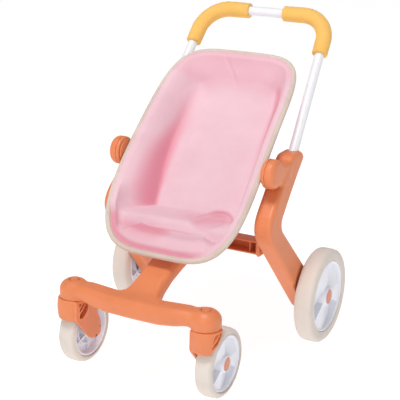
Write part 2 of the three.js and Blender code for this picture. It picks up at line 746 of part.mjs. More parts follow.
// axleFrom is where the axle starts, in the same x as the wheel.
function addWheel(parent, prefix, side, wheel, axleFrom) {
  const place = new THREE.Group();
  place.position.set(wheel.x, wheel.y, hubHeight(wheel));
  parent.add(place);
  add(place, `${prefix}_tyre_${side}`, tyre(wheel), MATERIALS.tyre);
  add(place, `${prefix}_rim_${side}`, rim(wheel), MATERIALS.white);
  add(place, `${prefix}_hub_cap_${side}`, hubCap(wheel), MATERIALS.orange);
  add(place, `${prefix}_axle_${side}`, axle(wheel, axleFrom - wheel.x), MATERIALS.steel);
}

add(stroller, "handle_tube", handleTube(), MATERIALS.white);
add(stroller, "crossbar", crossbar(), MATERIALS.orange);
add(stroller, "front_beam", frontBeam(), MATERIALS.orange);
add(stroller, "seat_frame", seatFrame(), MATERIALS.orange);
add(stroller, "seat_piping", seatPiping(), MATERIALS.piping);
add(stroller, "seat_fabric", seatFabric(), MATERIALS.fabric);

for (const [side, sign] of [["right", 1], ["left", -1]]) {
  const half = new THREE.Group();
  half.scale.x = sign;
  stroller.add(half);
  add(half, `grip_${side}`, grip(), MATERIALS.foam);
  add(half, `leg_${side}`, leg(), MATERIALS.orange);
  add(half, `tube_screw_${side}`, tubeScrew(), MATERIALS.steel);
  add(half, `beam_screw_${side}`, beamScrew(), MATERIALS.steel);
  add(half, `pivot_disc_${side}`, pivotDisc(), MATERIALS.orange);
  add(half, `pivot_pin_${side}`, pivotPin(), MATERIALS.steel);
  add(half, `fork_${side}`, fork(), MATERIALS.orange);
  add(half, `swivel_pin_${side}`, swivelPin().translate(SWIVEL.x, SWIVEL.y, 0), MATERIALS.orange);
  const axleGap = BLIND_WALL + GAP;
  addWheel(half, "rear", side, REAR_WHEEL, legInner(hubHeight(REAR_WHEEL)) + axleGap);
  addWheel(half, "front", side, FRONT_WHEEL, ARM.inner + axleGap);
}

export default stroller;
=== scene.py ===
import json
import math

import bpy
import numpy as np
from mathutils import Matrix, Vector


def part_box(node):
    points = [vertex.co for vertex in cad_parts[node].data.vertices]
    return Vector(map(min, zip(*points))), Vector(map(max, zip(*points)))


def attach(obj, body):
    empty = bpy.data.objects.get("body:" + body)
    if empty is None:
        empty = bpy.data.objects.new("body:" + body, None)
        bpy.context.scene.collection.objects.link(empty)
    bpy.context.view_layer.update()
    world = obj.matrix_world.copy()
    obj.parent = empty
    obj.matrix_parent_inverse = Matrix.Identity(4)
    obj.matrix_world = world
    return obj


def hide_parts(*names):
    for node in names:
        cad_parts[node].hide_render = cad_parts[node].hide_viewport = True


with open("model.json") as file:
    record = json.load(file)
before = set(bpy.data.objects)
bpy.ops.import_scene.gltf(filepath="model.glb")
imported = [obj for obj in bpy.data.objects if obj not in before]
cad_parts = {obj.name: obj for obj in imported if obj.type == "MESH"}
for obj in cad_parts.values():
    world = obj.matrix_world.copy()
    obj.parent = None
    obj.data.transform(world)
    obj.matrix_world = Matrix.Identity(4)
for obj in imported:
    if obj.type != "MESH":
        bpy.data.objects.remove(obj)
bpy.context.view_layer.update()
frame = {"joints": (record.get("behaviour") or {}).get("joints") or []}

# Shapes below are in millimetres, with y = 0 at the rear axle, and MM turns them into the frame's metres.
MM = 0.001
SIDES = (("right", 1), ("left", -1))
JOINT_AT = {joint["name"]: Vector(joint["pos_m"]) / MM for joint in frame["joints"]}
AXLE_Y = JOINT_AT["rear_wheel_right_spin"].y
TO_AXLE = Vector((0, AXLE_Y, 0))
REAR_AXLE = JOINT_AT["rear_wheel_right_spin"] - TO_AXLE
FRONT_AXLE = JOINT_AT["front_wheel_right_spin"] - TO_AXLE
SWIVEL_AT = JOINT_AT["caster_right_swivel"] - TO_AXLE
KNOB_AT = JOINT_AT["seat_recline"] - TO_AXLE


def span(node):
    """A CAD node's lowest and highest corners, in millimetres with y from the rear axle."""
    low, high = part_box(node)
    return low / MM - TO_AXLE, high / MM - TO_AXLE


# ------------ driving sizes

# Room round a part that sits in another: SLOT_FIT for tubes and tenons, PIN_FIT for pins and screws.
SLOT_FIT = 0.4
PIN_FIT = 0.3
HANDLE = {
    "tilt": 49.6,
    "grip_y": 85,
    "grip_z": 464,
    "rise": 73,
    "bend": 49,
    "bend_half": 118,
    "foot_half": 132,
    "foot_drop": 211,
    "tube": 8,
    "wall": 1.2,
    "grip": 13.3,
    "grip_end": 32,
}
LEG = {"ground_x": 154.6, "splay": 0.0746, "half": 15, "round": 6.5, "wheel_gap": 2.1, "wheel_room": 84}
LEG_CORNERS = [
    (-63, 331, 7.5),
    (-27, 331, 7.2),
    (-18, 319, 7.2),
    (-62, 282, 30),
    (-117, 231, 18),
    (16, 88, 16),
    (14, 52, 16),
    (-26, 58, 12),
    (-169, 233, 38),
]
NECK_CORNERS = [
    (-136, 329, 12),
    (-64, 322, 12),
    (-80, 284, 12),
    (-136, 301, 12),
]
KNOB = {"inner": 127.9, "radius": 23.2, "length": 20, "groove": 5.6}
AXLE_BORE = {"radius": 3.3, "from": 143, "to": 190}
SWIVEL = {"radius": 23, "bottom": 122.3, "top": 151}
SWIVEL_PIN = {"radius": 4, "head": 6.8, "recess": 7.6, "dish": 9.6, "floor": 147, "height": 3}
FENDER = {"x": 119, "y": -293.5, "radius": 23.5, "bottom": 88, "crown": 113, "wall": 3.2}
ARM = {"inner": 99.5, "outer": 104.9}
TYRE_GAP = {"tread": 2.1, "side": 1.9}
ARM_CORNERS = [
    (-311, 121, 3),
    (-312, 89, 5),
    (-271, 42, 12),
    (-246, 42, 12),
    (-245, 66, 10),
    (-258, 94, 12),
    (-272, 121, 3),
]
WINDOW = np.array([(-305, 120), (-281, 120), (-284, 105), (-298, 91), (-304.5, 91)], float)
ARM_NOTCHES = ((-248, 58.5), (-259.5, 45.5))
CROSSBAR = {"front": -130, "rear": -106, "bottom": 181, "top": 204, "wall": 3, "half": 123.6, "end": 8}
CROSSBAR_WEBS = (62, 104)
TENON = {"front": -126, "rear": -110, "bottom": 185, "top": 200, "depth": 9}
TONGUE = {"half": 26, "front": -140, "bottom": 184.4, "top": 200.6}
BEAM_SCREW = {"x": 14, "z": 192.5, "radius": 2, "head": 4.5, "height": 2.3, "length": 16, "room": 17}
TUBE_SCREW = {"above_foot": 14, "radius": 2, "head": 4.2, "height": 2.2, "length": 4, "room": 9}
# The front bar from its middle to its end: x, rear, front, bottom, top.
BAR_SECTIONS = [
    (0, -279, -318, 116, 147),
    (45, -279, -317.2, 116.3, 147),
    (72, -278, -315, 119, 148.5),
    (88, -277, -313.5, 122.7, 149),
    (116, -280, -311, 124, 147.5),
]
# The stem from front to rear: y, half width, bottom, top.
STEM_SECTIONS = [
    (-302, 50, 119, 144),
    (-290, 38.5, 119, 147.5),
    (-281, 31, 121, 150.5),
    (-272, 27.5, 126, 155),
    (-255, 25, 135.5, 163.5),
    (-230, 24.5, 148, 174.5),
    (-195, 25.5, 160, 186),
    (-160, 28.5, 171, 196),
    (-131.5, 31, 178.5, 203),
]
WHEELS = {"rear": {"hub": 15, "cap": 12.5}, "front": {"hub": 12.5, "cap": 10.5}}
SPOKE_DEPTH = 10.5
RIM_INSET = 1.2
RIM_PLANE = {"y": -163, "z": 278, "tilt": 44.5}
RIM = {
    "middle": 115,
    "upper": 160.4,
    "lower": 226.9,
    "half": 118.6,
    "taper": 0.04,
    "head_power": 4.6,
    "foot_power": 4,
    "bow_peak": 70,
    "bow_height": 3,
    "bow_drop": 14,
    "bow_span": 185,
}
PIPING_RADIUS = 4.7
HOOP_RADIUS = 3.0
CLOTH = {"thickness": 3.0, "under_piping": 2.4}
PIVOT_DISC = {"bore": 4.3, "inner": 125.3, "outer": 127.6, "radius": 19.1}
PIVOT_PIN = {"radius": 4, "from": 117.6, "to": 141}

# ------------ meshes


def new_object(name, points, faces, sharp=None):
    """A mesh object from points in millimetres, smooth shaded but for edges bent more than sharp degrees."""
    points = np.asarray(points, float).reshape(-1, 3)
    mesh = bpy.data.meshes.new(name)
    mesh.from_pydata(((points + (0, AXLE_Y, 0)) * MM).tolist(), [], [list(map(int, f)) for f in faces])
    mesh.validate()
    mesh.shade_smooth()
    if sharp is not None:
        mesh.set_sharp_from_angle(angle=math.radians(sharp))
    thing = bpy.data.objects.new(name, mesh)
    bpy.context.scene.collection.objects.link(thing)
    return thing


def settle(thing, body, material, slot, *nodes):
    """Gives a piece its material, its body and the CAD nodes it stands for."""
    thing.data.materials.clear()
    thing.data.materials.append(material)
    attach(thing, body)
    if nodes:
        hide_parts(*nodes)


def both(name, mesh, body, material, slot, nodes=(), sharp=None):
    """The right-hand piece and its mirror image. {} in a name, body or node stands for the side."""
    points, faces = np.asarray(mesh[0], float), mesh[1]
    for side, sign in SIDES:
        thing = new_object(name.format(side), points * (sign, 1, 1), [f[::sign] for f in faces], sharp)
        settle(thing, body.format(side), material, slot, *[n.format(side) for n in nodes])


def grid_faces(rows, columns, wrap_rows=False):
    """Quads over rows of points that each close on themselves."""
    faces = []
    for r in range(rows if wrap_rows else rows - 1):
        for c in range(columns):
            a = r * columns + c
            b = r * columns + (c + 1) % columns
            below = ((r + 1) % rows) * columns
            faces.append((a, b, below + (c + 1) % columns, below + c))
    return faces


def face_out(points, faces):
    """Turns all faces round if the closed surface is inside out."""
    volume = 0.0
    for f in faces:
        a, b, c = points[f[0]], points[f[1]], points[f[2]]
        volume += np.dot(a, np.cross(b, c))
        if len(f) == 4:
            volume += np.dot(a, np.cross(c, points[f[3]]))
    return points, faces if volume > 0 else [tuple(reversed(f)) for f in faces]


def closed_rings(rings):
    """A surface through rings of points, the last joined to the first."""
    return face_out(np.concatenate(rings), grid_faces(len(rings), len(rings[0]), wrap_rows=True))


def lathe(profile, steps, axis="X", at=(0, 0, 0)):
    """A turned piece: the profile is (radius, along) pairs, closed, or starting and ending on the axis."""
    on_axis = profile[0][0] == 0 and profile[-1][0] == 0
    rings = profile[1:-1] if on_axis else profile
    angles = 2 * math.pi * (np.arange(steps) + 0.5) / steps
    points = []
    for radius, along in rings:
        u, v = radius * np.cos(angles), radius * np.sin(angles)
        w = np.full(steps, float(along))
        points.append(np.stack([w, u, v] if axis == "X" else [u, v, w], 1))
    points = np.concatenate(points)
    faces = grid_faces(len(rings), steps, wrap_rows=not on_axis)
    if axis == "X":
        faces = [tuple(reversed(f)) for f in faces]
    if on_axis:
        for end, row in ((profile[0][1], 0), (profile[-1][1], len(rings) - 1)):
            points = np.vstack([points, [(end, 0, 0)] if axis == "X" else [(0, 0, end)]])
            hub = len(points) - 1
            for c in range(steps):
                pair = (row * steps + c, row * steps + (c + 1) % steps)
                turn = (row == 0) == (axis == "X")
                faces.append((hub, *pair) if turn else (hub, *reversed(pair)))
    points, faces = face_out(points, faces)
    return points + np.array(at), faces


def corner_curve(here, before, after, r, steps):
    """Points round a corner, leaving its two sides at a distance r from it."""
    start = here + (before - here) * r / np.linalg.norm(before - here)
    end = here + (after - here) * r / np.linalg.norm(after - here)
    curve = []
    for t in np.linspace(0, 1, steps + 1):
        curve.append(tuple((1 - t) ** 2 * start + 2 * t * (1 - t) * here + t**2 * end))
    return curve


def rounded_profile(corners, steps=5):
    """A line through (a, b, rounding) corners, each rounded over that length of its sides."""
    line = []
    for i, (a, b, r) in enumerate(corners):
        here = np.array((a, b), float)
        if r == 0 or i in (0, len(corners) - 1):
            line.append(tuple(here))
            continue
        line += corner_curve(here, np.array(corners[i - 1][:2]), np.array(corners[i + 1][:2]), r, steps)
    return line


def rounded_outline(corners):
    """A closed outline through (a, b, rounding) corners."""
    line = []
    for i, (a, b, r) in enumerate(corners):
        before, after = corners[i - 1][:2], corners[(i + 1) % len(corners)][:2]
        line += corner_curve(np.array((a, b), float), np.array(before), np.array(after), r, 8)
    return np.array(line)


def circle(radius, steps):
    a = 2 * math.pi * np.arange(steps) / steps
    return np.stack([radius * np.cos(a), radius * np.sin(a)], 1)


def ring_along(centre, across, up, section):
    """A section of (across, up) offsets, placed round a centre."""
    return centre + np.outer(section[:, 0], across) + np.outer(section[:, 1], up)


# ------------ moulded shapes as distance fields


def ease(t):
    """A smooth step from 0 at 0 to 1 at 1."""
    t = np.clip(t, 0, 1)
    return t * t * (3 - 2 * t)


def polygon(y, z, outline):
    """Distance to a closed outline, negative inside."""
    least = np.full(np.broadcast(y, z).shape, np.inf)
    sign = np.ones_like(least)
    for (ay, az), (by, bz) in zip(outline, np.roll(outline, 1, axis=0)):
        ey, ez = by - ay, bz - az
        length = ey * ey + ez * ez
        if length < 1e-12:
            continue
        wy, wz = y - ay, z - az
        t = np.clip((wy * ey + wz * ez) / length, 0, 1)
        least = np.minimum(least, (wy - ey * t) ** 2 + (wz - ez * t) ** 2)
        above, below, left = z >= az, z < bz, ey * wz > ez * wy
        sign = np.where((above & below & left) | (~above & ~below & ~left), -sign, sign)
    return sign * np.sqrt(least)


def slab(flat, across, half, round_by):
    """An outline given thickness, with rounded edges."""
    p, q = flat + round_by, np.abs(across) - half + round_by
    return np.minimum(np.maximum(p, q), 0) + np.hypot(np.maximum(p, 0), np.maximum(q, 0)) - round_by


def block(x, y, z, low, high, round_by=0.8):
    """A box with rounded edges."""
    centre, half = (np.array(low) + high) / 2, (np.array(high) - low) / 2 - round_by
    p = [np.abs(v - c) - h for v, c, h in zip((x, y, z), centre, half)]
    outside = np.sqrt(sum(np.maximum(v, 0) ** 2 for v in p))
    return outside + np.minimum(np.maximum(np.maximum(p[0], p[1]), p[2]), 0) - round_by


def post(u, v, w, radius, low, high, round_by=0.8):
    """A round post along w."""
    return slab(np.hypot(u, v) - radius, w - (low + high) / 2, (high - low) / 2, round_by)


def join(a, b, k):
    """The union of two fields, with a fillet of about k."""
    h = np.maximum(k - np.abs(a - b), 0) / k
    return np.minimum(a, b) - h**3 * k / 6


def cut(a, b, k=0.6):
    """The first field less the second, with edges rounded by about k."""
    return -join(-a, b, k)


def surface(field, low, high, step):
    """The zero surface of a field inside a box, as quads with one point in each cell that it crosses."""
    axes = [np.arange(a, b + step, step) for a, b in zip(low, high)]
    shape = tuple(len(a) for a in axes)
    value = field(axes[0][:, None, None], axes[1][None, :, None], axes[2][None, None, :])
    value = np.broadcast_to(value, shape)
    inside = value < 0
    corners = [(i, j, k) for i in (0, 1) for j in (0, 1) for k in (0, 1)]
    cells = tuple(n - 1 for n in shape)
    # The surface crosses the cells that have corners both inside and outside.
    count = np.zeros(cells, np.int8)
    for i, j, k in corners:
        count += inside[i : i + cells[0], j : j + cells[1], k : k + cells[2]]
    mixed = (count > 0) & (count < 8)
    number = np.full(cells, -1)
    number[mixed] = np.arange(mixed.sum())
    cell = np.argwhere(mixed)
    # Each cell's point is the average of where the surface crosses the cell's edges.
    total, crossings = np.zeros((len(cell), 3)), np.zeros(len(cell))
    for axis in range(3):
        along = np.eye(3, dtype=int)[axis]
        for corner in corners:
            if corner[axis]:
                continue
            start = cell + corner
            a, b = value[tuple(start.T)], value[tuple((start + along).T)]
            crossed = (a < 0) != (b < 0)
            t = np.where(crossed, a / np.where(crossed, a - b, 1), 0)
            total += np.where(crossed[:, None], np.array(corner) + t[:, None] * along, 0)
            crossings += crossed
    points = np.array(low) + (cell + total / crossings[:, None]) * step
    # Each grid edge that the surface crosses gives a quad between the points of the four cells round it.
    faces = []
    for axis in range(3):
        b, c = (axis + 1) % 3, (axis + 2) % 3
        first = np.take(inside, range(shape[axis] - 1), axis)
        second = np.take(inside, range(1, shape[axis]), axis)
        at = np.argwhere(first != second)
        at = at[(at[:, b] > 0) & (at[:, c] > 0) & (at[:, b] < cells[b]) & (at[:, c] < cells[c])]
        quad = []
        for back_b, back_c in ((0, 0), (1, 0), (1, 1), (0, 1)):
            around = at.copy()
            around[:, b] -= back_b
            around[:, c] -= back_c
            quad.append(number[tuple(around.T)])
        quad = np.stack(quad, 1)
        outward = first[tuple(at.T)]
        faces.append(np.where(outward[:, None], quad, quad[:, ::-1]))
    faces = np.concatenate(faces)
    # The points move along the field's slope on to its zero.
    for _ in range(4):
        here = field(*points.T)
        slope = []
        for axis in range(3):
            nudge = np.eye(3)[axis] * 0.05
            slope.append((field(*(points + nudge).T) - field(*(points - nudge).T)) / 0.1)
        slope = np.stack(slope, 1)
        move = here[:, None] * slope / np.maximum((slope**2).sum(1), 0.2)[:, None]
        points = points - np.clip(move, -step / 2, step / 2)
    return points, faces.tolist()


def surface_of(node, field, step):
    """The zero surface of a field in the space round a CAD node."""
    low, high = span(node)
    pad = Vector((2, 2, 2))
    return surface(field, low - pad, high + pad, step)


# ------------ materials


def new_material(name):
    material = bpy.data.materials.new(name)
    material.use_nodes = True
    return material, material.node_tree, material.node_tree.nodes["Principled BSDF"]


def fill(tree, node, **inputs):
    """Sets a node's inputs, with _ for a space in their names, or links them to other nodes' outputs."""
    for name, value in inputs.items():
        target = node.inputs[name.replace("_", " ")]
        if isinstance(value, bpy.types.NodeSocket):
            tree.links.new(value, target)
        else:
            target.default_value = value
    return node


def add(tree, kind, output, **inputs):
    return fill(tree, tree.nodes.new("ShaderNode" + kind), **inputs).outputs[output]


def noise(tree, at, scale, detail, roughness=0.55):
    return add(tree, "TexNoise", "Fac", Vector=at, Scale=scale, Detail=detail, Roughness=roughness)


def ramp(tree, factor, stops):
    """A colour ramp from (position, linear colour) stops."""
    node = tree.nodes.new("ShaderNodeValToRGB")
    while len(node.color_ramp.elements) < len(stops):
        node.color_ramp.elements.new(0.5)
    for element, (position, colour) in zip(node.color_ramp.elements, stops):
        element.position = position
        element.color = (*colour, 1)
    return fill(tree, node, Fac=factor).outputs["Color"]


def mix(tree, factor, base, colour):
    """A base colour turned towards another colour by a factor."""
    node = tree.nodes.new("ShaderNodeMix")
    node.data_type = "RGBA"
    return fill(tree, node, Factor=factor, A=base, B=(*colour, 1)).outputs["Result"]


def combine(tree, operation, first, second):
    node = tree.nodes.new("ShaderNodeMath")
    node.operation = operation
    tree.links.new(first, node.inputs[0])
    tree.links.new(second, node.inputs[1])
    return node.outputs["Value"]


def bump(tree, height, strength, distance):
    return add(tree, "Bump", "Normal", Height=height, Strength=strength, Distance=distance)


def linear(red, green, blue):
    """A screen colour, 0 to 255, in linear light."""
    return tuple(((v / 255 + 0.055) / 1.055) ** 2.4 for v in (red, green, blue))


def shade(colour, by):
    return tuple(v * by for v in colour)


def moulded(name, colour, roughness, grain=1800, grain_depth=0.00004, mottling=0.05, edges=0.10):
    """Moulded plastic: a little mottling, a painted highlight that lightens its edges, and a fine grain in
    its gloss.
    """
    material, tree, shader = new_material(name)
    at = add(tree, "TexCoord", "Object")
    mottled = [(0.3, shade(colour, 1 - mottling)), (0.7, shade(colour, 1 + mottling))]
    base = ramp(tree, noise(tree, at, 22, 4), mottled)
    pointed = add(tree, "NewGeometry", "Pointiness")
    # Painted highlight: edges found by pointiness are turned towards white.
    painted_edge_highlight = ramp(tree, pointed, [(0.52, (0, 0, 0)), (0.62, (edges, edges, edges))])
    base = mix(tree, painted_edge_highlight, base, [0.5 * v + 0.5 for v in colour])
    patches = noise(tree, at, 90, 3)
    gloss = add(tree, "MapRange", "Result", Value=patches, To_Min=roughness - 0.05, To_Max=roughness + 0.07)
    skin = bump(tree, noise(tree, at, grain, 2), 0.35, grain_depth)
    fill(tree, shader, Base_Color=base, Roughness=gloss, Normal=skin)
    return material


def woven(name, colour, dark, pitch, fold=None):
    """Cloth in the seat's plane: two crossed sets of threads with a slubby, slightly uneven colour and a soft
    sheen, and, where a fold colour is given, painted shade: a deeper colour laid into the folds."""
    material, tree, shader = new_material(name)
    at = add(tree, "TexCoord", "Object")
    turned = add(tree, "Mapping", "Vector", Vector=at, Rotation=(-math.radians(RIM_PLANE["tilt"]), 0, 0))
    threads = []
    for direction in ("X", "Y"):
        wave = tree.nodes.new("ShaderNodeTexWave")
        wave.bands_direction = direction
        fill(tree, wave, Vector=turned, Scale=1 / (pitch * 3.2), Distortion=0.6, Detail=1)
        threads.append(wave.outputs["Fac"])
    height = combine(tree, "ADD", combine(tree, "MULTIPLY", *threads), noise(tree, turned, 260, 3))
    base = ramp(tree, noise(tree, at, 14, 5, 0.6), [(0.32, dark), (0.62, colour)])
    # Painted shade: the fold attribute turns the cloth towards the fold colour where shade falls in its
    # folds, hollows and gutters.
    if fold:
        painted_shade_node = tree.nodes.new("ShaderNodeAttribute")
        painted_shade_node.attribute_name = "fold"
        base = mix(tree, painted_shade_node.outputs["Fac"], base, fold)
    fill(tree, shader, Base_Color=base, Roughness=0.88, Normal=bump(tree, height, 0.5, 0.00012))
    fill(tree, shader, Sheen_Weight=0.2, Sheen_Roughness=0.45, Sheen_Tint=(1.0, 0.86, 0.88, 1))
    return material


def foam(name, colour):
    """Closed-cell foam: matt, with a fine pitted skin."""
    material, tree, shader = new_material(name)
    at = add(tree, "TexCoord", "Object")
    base = ramp(tree, noise(tree, at, 30, 4), [(0.3, shade(colour, 0.94)), (0.7, shade(colour, 1.03))])
    pits = bump(tree, add(tree, "TexVoronoi", "Distance", Vector=at, Scale=1500), 0.4, 0.0001)
    fill(tree, shader, Base_Color=base, Roughness=0.72, Sheen_Weight=0.12, Normal=pits)
    return material


def brushed(name, colour):
    """Zinc-plated steel with fine turning marks."""
    material, tree, shader = new_material(name)
    marks = noise(tree, add(tree, "TexCoord", "Object"), 900, 4)
    base = ramp(tree, marks, [(0.3, shade(colour, 0.85)), (0.7, colour)])
    fill(tree, shader, Base_Color=base, Metallic=1, Roughness=0.28, Normal=bump(tree, marks, 0.2, 0.00003))
    return material


ORANGE = moulded("orange_plastic", linear(225, 130, 82), 0.42)
CAP_ORANGE = moulded("cap_plastic", linear(222, 140, 112), 0.45)
WHITE = moulded("white_plastic", linear(238, 238, 246), 0.36, edges=0.0, mottling=0.012)
TUBE = moulded("white_paint", linear(233, 233, 237), 0.3, 700, 0.00003, mottling=0.01, edges=0.0)
TYRE = moulded("tyre_plastic", linear(220, 209, 200), 0.62, 1100, 0.00008, edges=0.05)
GRIP = foam("grip_foam", linear(237, 184, 93))
# The fold colour is painted shade: a deeper rose that the seat's fold attribute lays into its folds and
# hollows.
FABRIC = woven("pink_cloth", linear(228, 192, 201), linear(223, 184, 194), 0.0011, fold=linear(222, 143, 160))
TAPE = woven("beige_tape", linear(213, 195, 183), linear(201, 181, 169), 0.0008)
STEEL = brushed("zinc_steel", linear(205, 207, 210))

# ------------ handle

HANDLE_TILT = math.radians(HANDLE["tilt"])
HANDLE_UP = np.array((0, math.cos(HANDLE_TILT), math.sin(HANDLE_TILT)))
HANDLE_OUT = np.array((0, -HANDLE_UP[2], HANDLE_UP[1]))


def on_handle(x, s):
    """A point in the handle's plane: across, and up along its arms from the grips."""
    return np.array((x, HANDLE["grip_y"], HANDLE["grip_z"]), float) + HANDLE_UP * s


def tube_x(s):
    """The tube's half width at a place along the handle's plane."""
    bend_foot = HANDLE["rise"] - HANDLE["bend"]
    t = (s + HANDLE["foot_drop"]) / (bend_foot + HANDLE["foot_drop"])
    return HANDLE["foot_half"] + (HANDLE["bend_half"] - HANDLE["foot_half"]) * t


def bend_stations(steps=18):
    """The quarter turn at the top of an arm."""
    stations = []
    for a in np.linspace(0, math.pi / 2, steps + 1):
        x = HANDLE["bend_half"] - HANDLE["bend"] * (1 - math.cos(a))
        stations.append((x, HANDLE["rise"] - HANDLE["bend"] * (1 - math.sin(a))))
    return stations


def handle_path(stations):
    """Centres and cross directions of a path in the handle's plane."""
    centres = np.array([on_handle(x, s) for x, s in stations])
    along = np.gradient(centres, axis=0)
    along /= np.linalg.norm(along, axis=1)[:, None]
    return centres, np.cross(along, HANDLE_OUT)


def sleeve(path, radii, bore, sides):
    """A round sleeve along a path in the handle's plane, with a radius for each place and an even bore."""
    section = circle(1, sides)
    outside = [ring_along(c, a, HANDLE_OUT, section * r) for c, a, r in zip(*path, radii)]
    inside = [ring_along(c, a, HANDLE_OUT, section * bore) for c, a in zip(*path)]
    return closed_rings([*outside, *reversed(inside)])


def handle_tube():
    side = [(tube_x(s), s) for s in np.linspace(-HANDLE["foot_drop"], 16, 12)] + bend_stations()
    middle = [(x, HANDLE["rise"]) for x in np.linspace(60, 10, 5)]
    path = handle_path(side + middle + [(-x, s) for x, s in reversed(side + middle)])
    radii = [HANDLE["tube"]] * len(path[0])
    thing = new_object("push_tube", *sleeve(path, radii, HANDLE["tube"] - HANDLE["wall"], 32), 50)
    settle(thing, "chassis", TUBE, "tube", "handle_tube")


def grips():
    """Foam sleeves with rolled ends and a faint ring pressed in near each end."""
    straight = [(tube_x(s), s) for s in (0, 0.4, 1.2, 2.4, 4, 6.5, 10, 15)]
    lead = [(x, HANDLE["rise"]) for x in (62, 54, 46, 41, 38, 36, 34.4, 33.2, 32.4, HANDLE["grip_end"])]
    path = handle_path(straight + bend_stations() + lead)
    reach = np.concatenate([[0], np.cumsum(np.linalg.norm(np.diff(path[0], axis=0), axis=1))])
    radii = []
    end_roll = 3.2
    for at in reach:
        from_end = min(at, reach[-1] - at)
        roll = math.sqrt(max(0, 1 - (1 - min(from_end / end_roll, 1)) ** 2))
        radii.append(HANDLE["grip"] - end_roll * (1 - roll) - 0.35 * math.exp(-(((from_end - 8) / 4) ** 2)))
    mesh = sleeve(path, radii, HANDLE["tube"] + PIN_FIT, 40)
    both("foam_grip_{}", mesh, "chassis", GRIP, "grip_foam", ["grip_{}"], 60)


# ------------ legs


def leg_inner_face(z):
    """How far out the inner face of the right leg is at a height."""
    return LEG["ground_x"] - LEG["splay"] * z - LEG["half"]


def leg_field():
    outline = rounded_outline(LEG_CORNERS)
    neck_outline = rounded_outline(NECK_CORNERS)
    foot, socket = [on_handle(tube_x(s), s) for s in (-HANDLE["foot_drop"], -100)]
    bore_along = (socket - foot) / np.linalg.norm(socket - foot)
    wheel_face = span("rear_tyre_right")[0].x - LEG["wheel_gap"]
    inner, radius, half_knob = KNOB["inner"], KNOB["radius"], KNOB["length"] / 2
    middle = inner + half_knob
    screw_at = on_handle(0, TUBE_SCREW["above_foot"] - HANDLE["foot_drop"])
    screw_face = leg_inner_face(screw_at[2])

    def field(x, y, z):
        off_middle = x - (LEG["ground_x"] - LEG["splay"] * z)
        column = slab(polygon(y, z, outline), off_middle, LEG["half"], LEG["round"])
        neck = slab(polygon(y, z, neck_outline), x - middle, half_knob - 1.2, 7)
        made = join(column, neck, 7)

        # The knob, its turned face, the groove round it, and the pivot pin's bore.
        u, v = y - KNOB_AT.y, z - KNOB_AT.z
        knob = post(u, v, x, radius, inner - 10, middle + 10, 8.5)
        face = post(u, v, x, radius + 0.8, inner, middle + 30, 4)
        made = join(made, -join(-knob, -face, 1.0), 4)
        groove = slab(np.abs(np.hypot(u, v) - radius) - 1.6, x - inner - KNOB["groove"], 0.65, 0.2)
        made = cut(made, groove, 0.5)
        pin_bore = post(u, v, x, PIVOT_DISC["bore"], inner - 3, PIVOT_PIN["to"] + 1, 0.2)

        # The socket's mouth, where the tube goes in.
        dx, dy, dz = x - foot[0], y - foot[1], z - foot[2]
        reach = dx * bore_along[0] + dy * bore_along[1] + dz * bore_along[2]
        off = np.sqrt(np.maximum(dx * dx + dy * dy + dz * dz - reach * reach, 0))
        made = cut(made, slab(off - HANDLE["tube"] - SLOT_FIT, reach - 50, 51, 0.3), 1.0)

        # The flat face beside the wheel, and the bore of its axle.
        off_axle = z - REAR_AXLE.z
        made = cut(made, slab(np.hypot(y, off_axle) - LEG["wheel_room"], x - wheel_face - 15, 15, 1.5), 1.2)
        axle_bore = post(y, off_axle, x, AXLE_BORE["radius"], AXLE_BORE["from"], AXLE_BORE["to"], 0.2)
        made = cut(cut(made, axle_bore, 0.5), pin_bore, 0.5)

        # The pocket for the cross member's tenon, and the sunk hole of the tube's screw.
        depth = CROSSBAR["half"] + TENON["depth"]
        low = (CROSSBAR["half"] - 4, TENON["front"] - SLOT_FIT, TENON["bottom"] - SLOT_FIT)
        high = (depth + SLOT_FIT, TENON["rear"] + SLOT_FIT, TENON["top"] + SLOT_FIT)
        made = cut(made, block(x, y, z, low, high, 0.4), 0.5)
        u, v, to = y - screw_at[1], z - screw_at[2], screw_face + TUBE_SCREW["height"] + PIN_FIT
        hole = post(u, v, x, TUBE_SCREW["head"] + PIN_FIT, screw_face - 6, to, 0.2)
        return cut(made, hole, 0.5)

    return field


def legs(step):
    mesh = surface_of("leg_right", leg_field(), step)
    both("moulded_leg_{}", mesh, "chassis", ORANGE, "orange_plastic", ["leg_{}"], 55)


# ------------ cross member and front beam


def between(at, stations, column):
    """A section's value at a place, from the listed stations."""
    return np.interp(at, [s[0] for s in stations], [s[column] for s in stations])


def smooth_table(stations, step=1.5, spread=4.0):
    """The same sections at even, closer places, with the corners between them smoothed away."""
    places = np.arange(stations[0][0], stations[-1][0] + step, step)
    columns = []
    for column in range(1, len(stations[0])):
        value = between(places, stations, column)
        weight = np.exp(-(((places[:, None] - places[None, :]) / spread) ** 2))
        columns.append((weight * value[None, :]).sum(1) / weight.sum(1))
    return list(zip(places, *columns))


def bar(across, low_across, high_across, up, low_up, high_up, round_by):
    """A long bar's section between two pairs of faces, with rounded edges."""
    p = np.abs(across - (low_across + high_across) / 2) - (high_across - low_across) / 2 + round_by
    q = np.abs(up - (low_up + high_up) / 2) - (high_up - low_up) / 2 + round_by
    return np.hypot(np.maximum(p, 0), np.maximum(q, 0)) + np.minimum(np.maximum(p, q), 0) - round_by


def beam_screw_bore(x, y, z):
    """The bores for the two screws that hold the beam's tongue in the cross member."""
    u, v = np.abs(x) - BEAM_SCREW["x"], z - BEAM_SCREW["z"]
    return post(u, v, y, BEAM_SCREW["radius"] + PIN_FIT, -123, -90, 0.1)


